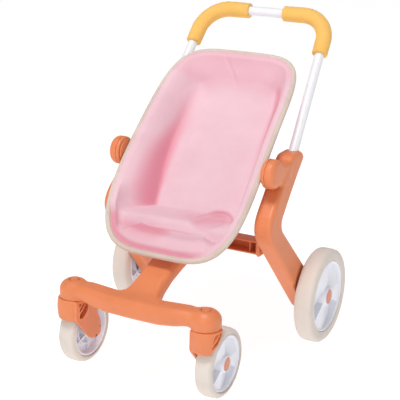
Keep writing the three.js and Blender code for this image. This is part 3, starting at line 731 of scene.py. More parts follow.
def beam_field():
    mirrored = [(-x, *rest) for x, *rest in reversed(BAR_SECTIONS[1:])]
    bar_table = smooth_table(mirrored + BAR_SECTIONS)
    stem_table = smooth_table(STEM_SECTIONS)
    stem_front, stem_rear = STEM_SECTIONS[0][0], STEM_SECTIONS[-1][0]
    # The stem rises to the rear, so it is a little thinner across than it is high.
    slope = 0.93
    low_end, high_end = SWIVEL["bottom"], SWIVEL["top"]

    def field(x, y, z):
        rear, front, bottom, top = [between(x, bar_table, column) for column in (1, 2, 3, 4)]
        cross = np.maximum(bar(y, front, rear, z, bottom, top, 11), np.abs(x) - SWIVEL_AT.x)
        half, bottom, top = [between(y, stem_table, column) for column in (1, 2, 3)]
        stem = bar(x, -half, half, z * slope, bottom * slope, top * slope, 9)
        stem = np.maximum(stem, np.maximum(stem_front - y, y - stem_rear))
        made = join(cross, stem, 7)

        # The housings: a round lobe with a domed top, flat below, with a dish, a recess and a bore.
        u, v = np.abs(x) - SWIVEL_AT.x, y - SWIVEL_AT.y
        lobe = post(u, v, z, SWIVEL["radius"], low_end, high_end + 8, 1.2)
        crown = z - (high_end - 12 * (np.hypot(u, v) / SWIVEL["radius"]) ** 3.4)
        made = join(made, -join(-lobe, -crown * 0.8, 4), 8)
        made = np.maximum(made, low_end - z - 60 * np.clip((90 - np.abs(x)) / 18, 0, 1))
        made = cut(made, post(u, v, z, SWIVEL_PIN["dish"], high_end - 1.0, high_end + 5, 0.3), 1.6)
        made = cut(made, post(u, v, z, SWIVEL_PIN["recess"], SWIVEL_PIN["floor"], high_end + 5, 0.3), 1.0)
        made = cut(made, post(u, v, z, SWIVEL_PIN["radius"] + PIN_FIT, low_end - 5, high_end, 0.2), 0.5)

        # The tongue that goes into the cross member.
        low = (-TONGUE["half"], TONGUE["front"], TONGUE["bottom"])
        high = (TONGUE["half"], CROSSBAR["rear"] - CROSSBAR["wall"] - SLOT_FIT, TONGUE["top"])
        made = join(made, block(x, y, z, low, high, 1), 1.5)
        return cut(made, beam_screw_bore(x, y, z), 0.3)

    return field


def front_beam(step):
    mesh = surface_of("front_beam", beam_field(), step)
    settle(new_object("moulded_beam", *mesh, 55), "chassis", ORANGE, "orange_plastic", "front_beam")


def crossbar_field(x, y, z):
    half, wall = CROSSBAR["half"], CROSSBAR["wall"]
    front, rear, bottom, top = [CROSSBAR[face] for face in ("front", "rear", "bottom", "top")]
    made = block(x, y, z, (-half, front, bottom), (half, rear, top), 2.2)
    inside = half - CROSSBAR["end"]
    low, high = (-inside, front - 5, bottom + wall), (inside, rear - wall, top - wall)
    made = cut(made, block(x, y, z, low, high, 1.5), 0.8)

    # Stiffening webs inside the channel, clear of the beam's tongue.
    across = np.abs(x)
    web = np.minimum(*[np.abs(across - at) for at in reversed(CROSSBAR_WEBS)]) - 0.9
    room = block(x, y, z, (-inside, front + 3, bottom + 1), (inside, rear - 1, top - 1), 0.3)
    made = join(made, np.maximum(web, room), 1.2)

    # A collar and a tenon at each end.
    low = (half - 2, TENON["front"], TENON["bottom"])
    high = (half + TENON["depth"], TENON["rear"], TENON["top"])
    tenon = block(across, y, z, low, high, 0.8)
    collar = block(across, y, z, (half - 5, front - 3, bottom - 0.8), (half, rear, top), 1)
    made = join(join(made, tenon, 0.8), collar, 1)
    return cut(made, beam_screw_bore(x, y, z), 0.3)


def crossbar(step):
    mesh = surface_of("crossbar", crossbar_field, step)
    settle(new_object("cross_member", *mesh, 55), "chassis", ORANGE, "orange_plastic", "crossbar")


# ------------ fasteners


def screw(size):
    """A pan-head screw along x, its head between 0 and its height, with a cross recess."""

    def field(x, y, z):
        shank = post(y, z, x, size["radius"], -size["length"], 1, 0.3)
        head = post(y, z, x, size["head"], 0, size["height"], 1.0)
        upright = np.maximum(np.abs(y) - 0.55, np.abs(z) - 2.2)
        level = np.maximum(np.abs(z) - 0.55, np.abs(y) - 2.2)
        recess = np.maximum(np.minimum(upright, level), size["height"] - 1.4 - x)
        return cut(join(shank, head, 0.4), recess, 0.25)

    edge = size["head"] + 1
    points, faces = surface(field, (-size["room"], -edge, -edge), (size["height"] + 1, edge, edge), 0.45)
    return points[:, 0], points[:, 1], points[:, 2], faces


def screws():
    x, y, z, faces = screw(BEAM_SCREW)
    placed = np.stack([-y + BEAM_SCREW["x"], x + CROSSBAR["rear"] + PIN_FIT, z + BEAM_SCREW["z"]], 1)
    both("beam_fastener_{}", (placed, faces), "chassis", STEEL, "steel", ["beam_screw_{}"], 40)
    x, y, z, faces = screw(TUBE_SCREW)
    at = on_handle(0, TUBE_SCREW["above_foot"] - HANDLE["foot_drop"])
    placed = np.stack([leg_inner_face(at[2]) + TUBE_SCREW["height"] - x, at[1] - y, at[2] + z], 1)
    both("tube_fastener_{}", (placed, faces), "chassis", STEEL, "steel", ["tube_screw_{}"], 40)


def pivots():
    """The discs between the knobs and the seat, and the pins through them."""
    knob = (0, KNOB_AT.y, KNOB_AT.z)
    bore, inner, outer, radius = [PIVOT_DISC[size] for size in ("bore", "inner", "outer", "radius")]
    line = rounded_profile([(bore, inner, 0), (radius, inner, 0.8), (radius, outer, 0.8), (bore, outer, 0)])
    mesh = lathe(line, 72, at=knob)
    both("hinge_disc_{}", mesh, "seat", ORANGE, "orange_plastic", ["pivot_disc_{}"], 40)
    start, end, radius = PIVOT_PIN["from"], PIVOT_PIN["to"], PIVOT_PIN["radius"]
    mesh = lathe([(0, start), (radius, start), (radius, end), (0, end)], 32, at=knob)
    both("hinge_pin_{}", mesh, "seat", STEEL, "steel", ["pivot_pin_{}"], 40)


def axles():
    """Steel axles, each with a wide head at the outer end."""
    shank, head, head_length = 3, 6, 2.2
    for end, body in (("rear", "chassis"), ("front", "caster_{}")):
        low, high = span(f"{end}_axle_right")
        neck = high.x - head_length
        line = [
            (0, low.x, 0),
            (shank, low.x, 0.5),
            (shank, neck, 0),
            (head, neck, 0.4),
            (head, high.x, 0.5),
            (0, high.x, 0),
        ]
        mesh = lathe(rounded_profile(line, 3), 32, at=(0, (low.y + high.y) / 2, (low.z + high.z) / 2))
        both(end + "_spindle_{}", mesh, body, STEEL, "steel", [end + "_axle_{}"], 40)


def swivel_pins():
    """The pins of the casters, with domed caps sunk in the housings."""
    cap = SWIVEL_PIN["floor"] + PIN_FIT
    line = [
        (0, FENDER["crown"], 0),
        (SWIVEL_PIN["radius"], FENDER["crown"], 0.5),
        (SWIVEL_PIN["radius"], cap, 0),
        (SWIVEL_PIN["head"], cap, 0),
        (SWIVEL_PIN["head"], cap + SWIVEL_PIN["height"], 1.2),
        (0, cap + SWIVEL_PIN["height"] + 0.3, 0),
    ]
    mesh = lathe(rounded_profile(line), 48, "Z", (SWIVEL_AT.x, SWIVEL_AT.y, 0))
    both("caster_cap_{}", mesh, "caster_{}", ORANGE, "orange_plastic", ["swivel_pin_{}"], 40)


# ------------ casters


def fork_field():
    outline = rounded_outline(ARM_CORNERS)
    inner, outer = ARM["inner"], ARM["outer"]
    bottom, crown = FENDER["bottom"], FENDER["crown"]
    top = SWIVEL["bottom"] - PIN_FIT
    tyre_low, tyre_high = span("front_tyre_right")
    tyre_room = (tyre_high.z - tyre_low.z) / 2 + TYRE_GAP["tread"]
    tyre_face = tyre_low.x - TYRE_GAP["side"]

    def field(x, y, z):
        # The hood is a drum with a slightly round side, hollow below its crown.
        u, v = x - FENDER["x"], y - FENDER["y"]
        inwards = np.hypot(u, v) - (FENDER["radius"] + 0.8 - 1.5 * ((z - 105) / 16) ** 2)
        drum = slab(inwards, z - (bottom + top) / 2, (top - bottom) / 2, 1.6)
        hollow = np.maximum(inwards + FENDER["wall"], z - crown)

        # The rear edge slants down and forwards, and thin webs run parallel to it inside.
        slant = (v - 11.3 + 0.85 * (120 - z)) / 1.31
        webs = np.maximum(np.minimum(np.abs(slant + 4.5), np.abs(slant + 10)) - 0.75, 90 - z)
        made = cut(drum, np.maximum(hollow, -webs), 0.6)
        made = cut(made, np.maximum(np.maximum(-slant, z - crown), 106 - x), 0.8)
        arm = slab(polygon(y, z, outline), x - (inner + outer) / 2, (outer - inner) / 2, 1.4)
        made = join(made, arm, 1.5)

        # The outer side is open, and the inner side has a window over the webs.
        open_side = np.maximum(np.maximum(20 - u - 0.12 * (120 - z), z - crown - 6), -webs)
        made = cut(made, open_side, 0.6)
        window = np.maximum(slab(polygon(y, z, WINDOW), x - inner, 12, 0.4), -webs)
        made = cut(made, np.maximum(window, z - crown - 3), 0.7)
        for notch_y, notch_z in ARM_NOTCHES:
            made = cut(made, post(y - notch_y, z - notch_z, x, 2.1, inner - 3, inner + 3.4, 0.3), 0.4)

        # Room for the tyre, and the bores of the axle and the swivel pin.
        u, v = y - FRONT_AXLE.y, z - FRONT_AXLE.z
        made = cut(made, slab(np.hypot(u, v) - tyre_room, x - tyre_face - 20, 20, 1), 0.8)
        made = cut(made, post(u, v, x, AXLE_BORE["radius"], inner + 1.5, outer + 3, 0.1), 0.3)
        pin_bore = SWIVEL_PIN["radius"] + PIN_FIT
        return cut(made, post(x - SWIVEL_AT.x, y - SWIVEL_AT.y, z, pin_bore, crown - 3, top + 3, 0.1), 0.3)

    return field


def forks(step):
    mesh = surface_of("fork_right", fork_field(), step)
    both("caster_fork_{}", mesh, "caster_{}", ORANGE, "orange_plastic", ["fork_{}"], 50)


# ------------ wheels


def tyre_mesh(radius, half, bead, at):
    """Round-shouldered tread with two faint parting lines, and sides that curve in to the rim."""
    shoulder = 7.5
    side = radius - shoulder - 2
    line = [
        (bead, -half + 2.2, 0),
        (bead + 1.2, -half + 0.6, 1.0),
        (side, -half + 0.2, 2.0),
        (radius - 0.3, -half + 1.2, shoulder),
        (radius, 0, 4.0),
        (radius - 0.3, half - 1.2, shoulder),
        (side, half - 0.2, 2.0),
        (bead + 1.2, half - 0.6, 1.0),
        (bead, half - 2.2, 0),
    ]
    points, faces = lathe(rounded_profile(line, 7), 144)
    off = np.hypot(points[:, 1], points[:, 2])
    tread = off > radius - 2.5
    for groove in (-half * 0.55, half * 0.55):
        dip = 0.35 * np.exp(-(((points[:, 0] - groove) / 0.9) ** 2)) * tread
        points[:, 1:] *= (1 - dip / off)[:, None]
    return points + at, faces


def spoke_depth(radius, theta, rim_radius, hub_radius):
    """Depth of the wheel's outer face below its rim: three wide spokes, each falling off a sharp step."""
    third = 2 * math.pi / 3
    turn = np.mod(math.pi / 2 - theta, third) / third
    sunk = (1.0 - np.clip(turn / 0.7, 0, 1) ** 1.3) * np.clip(turn / 0.02, 0, 1)
    across = np.clip((radius - hub_radius - 2) / 2.5, 0, 1) * np.clip((rim_radius - 4.5 - radius) / 1.5, 0, 1)
    return SPOKE_DEPTH * sunk * ease(across)


def rim_mesh(rim_radius, half, hub_radius, cap_radius, at):
    """The white rim: a deep outer face in three turbine spokes, a raised collar round the cap,
    and a dished, ribbed inner face."""
    steps = 360
    theta = 2 * math.pi * np.arange(steps) / steps
    places = [
        [cap_radius + 0.3, cap_radius + 0.6, cap_radius + 1.6],
        np.linspace(cap_radius + 2.6, hub_radius + 4.2, 5),
        np.linspace(hub_radius + 6, rim_radius - 10, 10),
        np.linspace(rim_radius - 9, rim_radius - 3, 13),
        [rim_radius - 2, rim_radius - 0.8, rim_radius],
    ]
    rings = []
    for r in np.concatenate(places):
        collar = 4.6 * (1 - np.clip((r - cap_radius - 1.6) / 3.0, 0, 1))
        lip = 2.4 * np.clip((r - rim_radius + 5) / 3, 0, 1)
        lip -= 0.9 * np.clip((r - rim_radius + 1.2) / 1.2, 0, 1) ** 2
        base = half - 3.0 + np.maximum(collar, lip)
        if r < cap_radius + 0.5:
            base = base - 1.2
        rings.append((r, base - spoke_depth(r, theta, rim_radius, hub_radius)))
    # Round the outside, back in across the inner face to the axle's bore, and out to the cap's seat.
    rings += [
        (rim_radius, -half + 1.0),
        (rim_radius - 1.2, -half),
        (rim_radius - 3.6, -half + 0.4),
        (rim_radius - 4.6, -half + 3),
        (rim_radius - 5.4, half - 16.5),
        (rim_radius - 9, half - 15.5),
        (rim_radius * 0.62, half - 15),
        (rim_radius * 0.6, -half + 7),
        (rim_radius * 0.57, -half + 6.4),
        (rim_radius * 0.54, -half + 7),
        (rim_radius * 0.52, half - 15),
        (hub_radius + 2.5, half - 15),
        (hub_radius + 1.5, -half + 2),
        (hub_radius, -half + 1),
        (4.2, -half + 1),
        (3.4, -half + 1.6),
        (3.4, half - 4.6),
        (6.6, half - 4.6),
        (6.6, half - 4.2),
    ]
    circles = [np.stack(np.broadcast_arrays(x, r * np.cos(theta), r * np.sin(theta)), 1) for r, x in rings]
    points, faces = closed_rings(circles)
    return points + at, faces


def rib_mesh(rim_radius, half, hub_radius, at):
    """Radial ribs on the inner face, one mesh of plain tapered plates sunk in the web."""
    inner, outer = hub_radius + 1, rim_radius - 5
    corners = ((inner, -half + 3.4), (outer, -half + 8), (outer, half - 14), (inner, half - 14))
    points, faces = [], []
    for k in range(6):
        a = math.pi / 6 + k * math.pi / 3
        out, side = np.array((math.cos(a), math.sin(a))), np.array((-math.sin(a), math.cos(a)))
        start = len(points)
        for r, along in corners:
            for w in (-0.9, 0.9):
                points.append((along, *(out * r + side * w)))
        for i in range(4):
            j = (i + 1) % 4
            faces.append((start + 2 * i, start + 2 * j, start + 2 * j + 1, start + 2 * i + 1))
        faces.append((start, start + 2, start + 4, start + 6))
        faces.append((start + 7, start + 5, start + 3, start + 1))
    points, faces = face_out(np.array(points), faces)
    return points + at, faces


def cap_mesh(radius, half, at):
    foot = half - 4.4
    line = [
        (0, foot, 0),
        (radius, foot, 0),
        (radius, half - 0.6, 1.6),
        (radius - 3.5, half + 0.2, 1.5),
        (0, half + 0.4, 0),
    ]
    return lathe(rounded_profile(line), 72, at=at)


def wheels():
    for end, axle in (("rear", REAR_AXLE), ("front", FRONT_AXLE)):
        hub, cap, body, at = WHEELS[end]["hub"], WHEELS[end]["cap"], end + "_wheel_{}", np.array(axle)
        low, high = span(f"{end}_tyre_right")
        rim_low, rim_high = span(f"{end}_rim_right")
        half = (high.x - low.x) / 2
        rim_half = half - RIM_INSET
        # The CAD rim has 24 flat sides, and the real one is as wide as its corners.
        rim = (rim_high.y - rim_low.y) / 2 / math.cos(math.pi / 24)
        mesh = tyre_mesh(axle.z - 0.02, half, rim + 0.3, at)
        both(end + "_wheel_tyre_{}", mesh, body, TYRE, "tyre", [end + "_tyre_{}"], 60)
        mesh = rim_mesh(rim, rim_half, hub, cap, at)
        both(end + "_wheel_rim_{}", mesh, body, WHITE, "white_plastic", [end + "_rim_{}"], 35)
        mesh = rib_mesh(rim, rim_half, hub, at)
        both(end + "_rim_ribs_{}", mesh, body, WHITE, "white_plastic", (), 20)
        mesh = cap_mesh(cap, half, at)
        both(end + "_wheel_cap_{}", mesh, body, CAP_ORANGE, "orange_plastic", [end + "_hub_cap_{}"], 40)


# ------------ seat

SEAT_TILT = math.radians(RIM_PLANE["tilt"])
SEAT_UP = np.array((0, math.cos(SEAT_TILT), math.sin(SEAT_TILT)))
SEAT_OUT = np.array((0, -SEAT_UP[2], SEAT_UP[1]))
SEAT_ORIGIN = np.array((0, RIM_PLANE["y"], RIM_PLANE["z"]))


def on_seat(x, s, n):
    """Points from seat coordinates: across, along the rim's plane from foot to head, and out to the front."""
    x, s, n = np.broadcast_arrays(x, s, n)
    flat = np.outer(s.ravel(), SEAT_UP) + np.outer(n.ravel(), SEAT_OUT)
    flat[:, 0] += x.ravel()
    return flat + SEAT_ORIGIN


def bow(s):
    """How far the rim stands out of its plane."""
    return RIM["bow_height"] - RIM["bow_drop"] * ((s - RIM["bow_peak"]) / RIM["bow_span"]) ** 2


def rim_line(count):
    """Even points round the rim's centre line, with their outward directions."""
    t = np.linspace(0, 2 * math.pi, 7201)
    power = np.where(np.sin(t) > 0, RIM["head_power"], RIM["foot_power"])
    reach = np.where(np.sin(t) > 0, RIM["upper"], RIM["lower"])
    s = RIM["middle"] + reach * np.sign(np.sin(t)) * np.abs(np.sin(t)) ** (2 / power)
    width = np.sign(np.cos(t)) * np.abs(np.cos(t)) ** (2 / power)
    x = RIM["half"] * width * (1 - RIM["taper"] * (s - RIM["middle"]) / RIM["upper"])
    length = np.concatenate([[0], np.cumsum(np.hypot(np.diff(x), np.diff(s)))])
    even = np.linspace(0, length[-1], count + 1)[:-1]
    x, s = np.interp(even, length, x), np.interp(even, length, s)
    # Directions are taken over four steps, because the curvature jumps where the two half outlines meet.
    along = np.stack([np.roll(x, -2) - np.roll(x, 2), np.roll(s, -2) - np.roll(s, 2)], 1)
    along /= np.linalg.norm(along, axis=1)[:, None]
    return np.stack([x, s], 1), np.stack([along[:, 1], -along[:, 0]], 1)


def rim_path(count):
    """Centres, outward directions and upward directions round the rim, for a sweep."""
    line, out = rim_line(count)
    centres = on_seat(line[:, 0], line[:, 1], bow(line[:, 1]))
    return centres, on_seat(out[:, 0], out[:, 1], 0) - SEAT_ORIGIN, np.tile(SEAT_OUT, (count, 1))


def soft_most(values, k):
    """The highest of several surfaces, with the folds between them rounded over about k."""
    most = -values[0]
    for value in values[1:]:
        most = join(most, -value, k)
    return -most


def hill(t, width):
    """A smooth hill, 1 at 0, that fades over about the width."""
    return np.exp(-((t / width) ** 2))


def turned_by(x, s, at, degrees):
    """Coordinates along and across a direction, from a place."""
    c, q = math.cos(math.radians(degrees)), math.sin(math.radians(degrees))
    return c * (x - at[0]) + q * (s - at[1]), -q * (x - at[0]) + c * (s - at[1])


# The side walls start this far inside the rim's line, and fall this deep.
WALL_START = 11.5
WALL_DEPTH = 46
POCKET = {"at": (51, -28), "turn": 28, "long": 30, "wide": 26, "depth": 10}
# Height of the back along the middle of the seat, from foot to head.
BACK_PLACES = [-40, -6, 109, 198, 280]
BACK_HEIGHTS = [-54, -54, -44, -47, -50]


def halves(x):
    """How far a place belongs to the seat's right-hand half, and to its left-hand half."""
    right = ease((x + 20) / 40)
    return right, 1 - right


def wall_top(s):
    """Where the walls start, a little behind the rim's centre line."""
    return bow(s) - 1.5


def wall_curve(x, s):
    """How far in a side wall has reached when it is at its full depth, and the power of its curve."""
    right, left = halves(x)
    low = ease((8 - s) / 33)
    reach_in = 29 - 4 * right + 8 * left * ease((90 - s) / 90)
    return reach_in, (1.85 - 0.45 * right) * (1 - low) + (0.55 + 0.35 * right) * low


def back_height(x, s):
    """The back, slightly hollow across."""
    return np.interp(s, BACK_PLACES, BACK_HEIGHTS) + 2.0 * (x / 78) ** 2


def front_height(x, s):
    """The front of the seat cushion, which slopes down to the lip."""
    return -17 + 5 * ease((-x - 40) / 60) - 0.4 * (-42 - s)


def cushion_height(x, s):
    """The seat cushion: level when the stroller stands, and rounded over to its front."""
    level = -54 + 1.02 * (-8 - s)
    return join(level, front_height(x, s), 14)


def foot_height(s, inwards):
    """The foot end's wall: a puffed lip inside the piping, and then a fall to the cushion."""
    lip = 4.5 * hill(inwards - 27, 12)
    return wall_top(s) + lip - 20 * ease((inwards - 28) / 30) - 1.3 * np.maximum(inwards - 50, 0)


def bucket_height(x, s, inwards, facing):
    """The walls all round and the back, joined by a fold that is wider towards the head."""
    fall = np.maximum(inwards - WALL_START, 0)
    reach_in, curl = wall_curve(x, s)
    side = wall_top(s) - WALL_DEPTH * (fall / reach_in) ** curl
    head = wall_top(s) - 0.70 * fall
    at_head, at_foot = ease((facing - 0.1) / 0.85), ease((-facing - 0.30) / 0.6)
    wall = side * (1 - at_head - at_foot) + head * at_head + foot_height(s, inwards) * at_foot
    return soft_most([wall, back_height(x, s)], 10 + 19 * ease((s - 130) / 100))


def in_pocket(x, s):
    """Places along and across the pocket in the right-hand corner, and a reach that is 1 at its edge."""
    along, across = turned_by(x, s, POCKET["at"], POCKET["turn"])
    return along, across, np.hypot(along / POCKET["long"], across / POCKET["wide"])


def gutter_share(x, s):
    """Where the cloth is drawn in beside the piping, round the foot end."""
    return ease((-40 - s) / 25) * ease((95 - x) / 50)


def seat_height(x, s, inwards, facing):
    """Height of the padded cloth over the rim's plane.
    inwards is the distance from the rim's line, and facing is how far the nearest stretch of rim looks
    towards the head (1) or the foot (-1)."""
    fold = 2.5 + 7 * ease((x + 45) / 50) + 5 * ease((-s - 28) / 22)
    made = soft_most([bucket_height(x, s, inwards, facing), cushion_height(x, s)], fold)
    _, across, reach = in_pocket(x, s)
    steeper = 0.6 + 0.4 * np.clip(across / 24, -1, 1)
    made = made - POCKET["depth"] * ease((1.05 - reach) / 0.45) * steeper
    made = made + 2.2 * hill(reach - 1.2, 0.15) * ease((across + 2) / 8)
    slack = np.sin(x / 19 + 1.3 * np.sin(s / 27)) * np.sin(s / 23 + 0.9 * np.sin(x / 31) + 0.7)
    made = made + 0.5 * slack * ease((inwards - 14) / 20)
    gutter = gutter_share(x, s)
    roll = 5.2 * (1 - ease((inwards - 5) / 17)) * (1 - 0.85 * gutter)
    return made + roll - 2.5 * gutter * hill(inwards - 9, 4)


def fold_painted_shade(x, s, inwards, facing):
    """Painted shade in the long folds where the side walls meet the back."""
    right, left = halves(x)
    reach_in, curl = wall_curve(x, s)
    drop = np.clip((wall_top(s) - back_height(x, s)) / WALL_DEPTH, 0.2, 2)
    # How far in a place is from the fold.
    off = inwards - WALL_START - reach_in * drop ** (1 / curl)
    outer = (7 + 25 * ease((150 - s) / 150)) * left + 12 * right
    inner = (8 + 12 * ease(s / 100)) * left + 11 * right
    deep = np.where(off > 0, ease(1 - off / inner), ease(1.15 + off / outer))
    over_cushion = bucket_height(x, s, inwards, facing) - cushion_height(x, s)
    left_fade = ease((238 - s) / 160) * ease(over_cushion / 4 + 0.5)
    right_fade = 0.95 * ease((s - 40) / 130) * ease((262 - s) / 20)
    at_head = ease((facing - 0.1) / 0.85)
    return deep * (left_fade * left + right_fade * right) * (1 - ease(1.6 * at_head))


def lip_fold_painted_shade(x, s, inwards):
    """Painted shade in the fold between the cushion's front and the lip."""
    valley = s + 66 - 0.075 * (x + 100)
    meeting = foot_height(s, inwards) - front_height(x, s)
    fold = np.maximum(hill(valley, 5.5) * ease((-20 - x) / 30), hill(meeting, 5.5) * ease((x + 60) / 40))
    return 0.6 * fold * ease((-s - 42) / 12) * ease((x + 112) / 30) * ease((60 - x) / 40)


def seat_painted_shade(x, s, inwards, facing):
    """How much painted shade the cloth gets: it lies in the folds, in the pocket and along its edge, in the
    hollow of the cushion, in the gutter beside the piping, and lightly over the head end and the lip."""
    along, across, reach = in_pocket(x, s)
    shades = [
        fold_painted_shade(x, s, inwards, facing),
        lip_fold_painted_shade(x, s, inwards),
        (0.3 + 0.3 * ease((across + 8) / 16)) * ease((1.1 - reach) / 0.4),
        0.8 * hill(reach - 1.02, 0.09) * ease((across + along / 2 + 4) / 14),
        0.4 * hill(x - 16, 26) * hill(s + 24, 15),
        0.95 * gutter_share(x, s) * hill(inwards - 8, 6.5),
        0.26 * ease((s - 212) / 20),
        0.14 * ease((-s - 50) / 20),
    ]
    return np.clip(np.max(shades, axis=0), 0, 1)


def head_crease(x, s):
    """Depth of a soft upright crease in the middle of the head end."""
    off = x + 29 - 20 * (267 - s) / 28
    return 1.7 * hill(off, 3.5) * ease((s - 222) / 16) * ease((274 - s) / 12)


def relax(height, rings, count, share):
    """Smooths a ring-by-ring height field, each point by its own share."""
    field, share = height.reshape(rings, count), share.reshape(rings, count)
    for _ in range(60):
        around = (np.roll(field, 1, 1) + np.roll(field, -1, 1)) / 4
        around += (np.vstack([field[:1], field[:-1]]) + np.vstack([field[1:], field[-1:]])) / 4
        field = field + (around - field) * share
    return field.ravel()


def rim_distance(at, line):
    """Distance from each point to the rim's centre line, and the nearest point on it."""
    best, nearest = np.full(len(at), np.inf), np.zeros(len(at), int)
    for i, p in enumerate(line):
        distance = np.hypot(at[:, 0] - p[0], at[:, 1] - p[1])
        closer = distance < best
        best = np.where(closer, distance, best)
        nearest[closer] = i
    return best, nearest


def apply_modifiers(thing):
    graph = bpy.context.evaluated_depsgraph_get()
    mesh = bpy.data.meshes.new_from_object(thing.evaluated_get(graph))
    old = thing.data
    thing.modifiers.clear()
    thing.data = mesh
    bpy.data.meshes.remove(old)
    mesh.shade_smooth()


def seat_cloth():
    """The padded cloth, in rings from the middle of the seat out to under the piping."""
    count, centre = 480, np.array((0, 70.0))
    shares = np.concatenate([np.linspace(0.015, 0.8, 110), np.linspace(0.807, 1.0, 40)])
    line, out = rim_line(count)
    fine, fine_out = rim_line(2 * count)
    edge = line - out * CLOTH["under_piping"]
    at = np.concatenate([centre + (edge - centre) * share for share in shares])
    x, s = at[:, 0], at[:, 1]
    distance, nearest = rim_distance(at, fine)
    facing = fine_out[nearest, 1]
    height, painted_shade = seat_height(x, s, distance, facing), seat_painted_shade(x, s, distance, facing)
    loose = ease((distance - 12) / 12) * (0.06 + 0.8 * ease((s - 120) / 70))
    height = relax(height, len(shares), count, loose) - head_crease(x, s)
    points = on_seat(x, s, height)
    hub = len(points)
    points = np.vstack([points, points[:count].mean(0)])
    painted_shade = np.append(painted_shade, painted_shade[:count].mean())
    faces = grid_faces(len(shares), count) + [(hub, (c + 1) % count, c) for c in range(count)]
    thing = new_object("padded_seat", points, faces)
    # The fold attribute holds the painted shade that the cloth's material lays into its folds.
    thing.data.attributes.new("fold", "FLOAT", "POINT").data.foreach_set("value", painted_shade.astype(np.float32))
    if thing.data.polygons[0].normal.dot(Vector(SEAT_OUT)) < 0:
        thing.data.flip_normals()
    pad = thing.modifiers.new("pad", "SOLIDIFY")
    pad.thickness = CLOTH["thickness"] * MM
    pad.offset = -1
    apply_modifiers(thing)
    settle(thing, "seat", FABRIC, "seat_fabric", "seat_fabric")


def seat_hoop():
    """The bent hoop inside the piping, with a boss at each knob."""
    hoop = circle(HOOP_RADIUS, 16)
    points, faces = closed_rings([ring_along(*place, hoop) for place in zip(*rim_path(240))])
    outline = [(0, 117.2, 0), (6.5, 117.2, 0.6), (6.5, 125, 0.6), (0, 125, 0)]
    boss_points, boss_faces = lathe(rounded_profile(outline), 40)
    for sign in (1, -1):
        start = len(points)
        points = np.concatenate([points, (boss_points + (0, KNOB_AT.y, KNOB_AT.z)) * (sign, 1, 1)])
        faces = faces + [tuple(start + i for i in f[::sign]) for f in boss_faces]
    settle(new_object("seat_hoop", points, faces, 50), "seat", ORANGE, "orange_plastic", "seat_frame")


def seat_piping():
    """Binding tape folded over the hoop, slightly puckered along its sewn edge."""
    a = 2 * math.pi * np.arange(24) / 24
    rings = []
    for i, (centre, across, up) in enumerate(zip(*rim_path(460))):
        pucker = 1 + 0.010 * math.sin(i * 2 * math.pi / 7.0) + 0.008 * math.sin(i * 2 * math.pi / 4.1 + 1)
        r = PIPING_RADIUS * (1 - 0.06 * np.cos(a) ** 2) * pucker
        rings.append(ring_along(centre, across, up, np.stack([r * np.cos(a), r * np.sin(a)], 1)))
    settle(new_object("bound_edge", *closed_rings(rings)), "seat", TAPE, "piping", "seat_piping")


# ------------ camera, floor and light

CAMERA_AT = Vector((0.78967, -1.54102 + AXLE_Y * MM, 0.78074))
CAMERA_LOOK = Vector((-0.45725, 0.83344, -0.31031)).normalized()
CAMERA_ROLL = math.radians(0.6)


def camera():
    data = bpy.data.cameras.new("camera")
    data.lens = 95.89
    data.sensor_width = 36
    data.clip_end = 20
    thing = bpy.data.objects.new("camera", data)
    right = CAMERA_LOOK.cross(Vector((0, 0, 1))).normalized()
    up = right.cross(CAMERA_LOOK)
    rolled_right = right * math.cos(CAMERA_ROLL) + up * math.sin(CAMERA_ROLL)
    rolled_up = up * math.cos(CAMERA_ROLL) - right * math.sin(CAMERA_ROLL)
    turn = Matrix((rolled_right, rolled_up, -CAMERA_LOOK)).transposed()
    thing.matrix_world = Matrix.Translation(CAMERA_AT) @ turn.to_4x4()
    bpy.context.scene.collection.objects.link(thing)
    bpy.context.scene.camera = thing


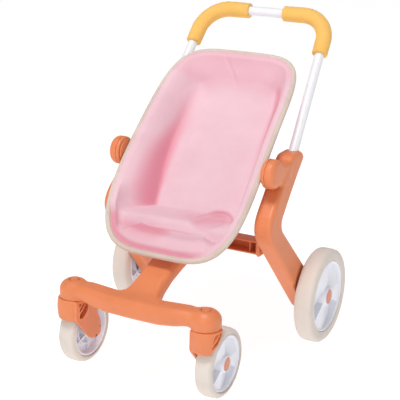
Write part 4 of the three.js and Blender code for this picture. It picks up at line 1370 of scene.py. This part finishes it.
def area_light(name, at, size, power):
    """A round soft light that faces the middle of the stroller."""
    data = bpy.data.lights.new(name, "AREA")
    data.shape = "DISK"
    data.size = size
    data.energy = power
    thing = bpy.data.objects.new(name, data)
    thing.location = at
    thing.rotation_euler = (Vector((0, 0, 0.25)) - Vector(at)).to_track_quat("-Z", "Y").to_euler()
    bpy.context.scene.collection.objects.link(thing)


def studio():
    """A white world, dimmer overhead, and lights from above, from the front and from the right."""
    world = bpy.data.worlds.new("studio")
    world.use_nodes = True
    tree = world.node_tree
    height = add(tree, "SeparateXYZ", "Z", Vector=add(tree, "TexCoord", "Generated"))
    bright, dim = (0.68, 0.68, 0.68), (0.36, 0.36, 0.36)
    tone = ramp(tree, height, [(0.0, bright), (0.06, bright), (0.3, dim)])
    fill(tree, tree.nodes["Background"], Color=tone)
    bpy.context.scene.world = world
    bpy.context.scene.view_settings.view_transform = "Standard"
    area_light("key", (0.0, -0.85, 2.5), 0.8, 32)
    area_light("front", (0.1, -2.4, 1.2), 1.2, 12)
    area_light("fill", (2.2, -0.5, 0.9), 1.2, 3)


def floor():
    """A pale studio floor that glows a little, so it stays even and bright out to its far edge."""
    reach, drop = 60.0, -0.0006
    corners = [(-reach, -reach, drop), (reach, -reach, drop), (reach, reach, drop), (-reach, reach, drop)]
    mesh = bpy.data.meshes.new("studio_floor")
    mesh.from_pydata(corners, [], [(0, 1, 2, 3)])
    material, tree, shader = new_material("studio_white")
    clouds = noise(tree, add(tree, "TexCoord", "Object"), 2, 2)
    tone = ramp(tree, clouds, [(0.3, (0.36, 0.36, 0.36)), (0.7, (0.40, 0.40, 0.40))])
    fill(tree, shader, Base_Color=tone, Roughness=0.95, Specular_IOR_Level=0.1)
    fill(tree, shader, Emission_Color=(1, 1, 1, 1), Emission_Strength=0.84)
    mesh.materials.append(material)
    thing = bpy.data.objects.new("studio_floor", mesh)
    bpy.context.scene.collection.objects.link(thing)


# ------------ assembly

# The steps, in millimetres, that the moulded shapes are sampled at.
FINE = 1.25
camera()
studio()
floor()
handle_tube()
grips()
legs(FINE * 0.8)
front_beam(FINE)
crossbar(0.9)
forks(0.8)
screws()
pivots()
axles()
swivel_pins()
wheels()
seat_hoop()
seat_cloth()
seat_piping()
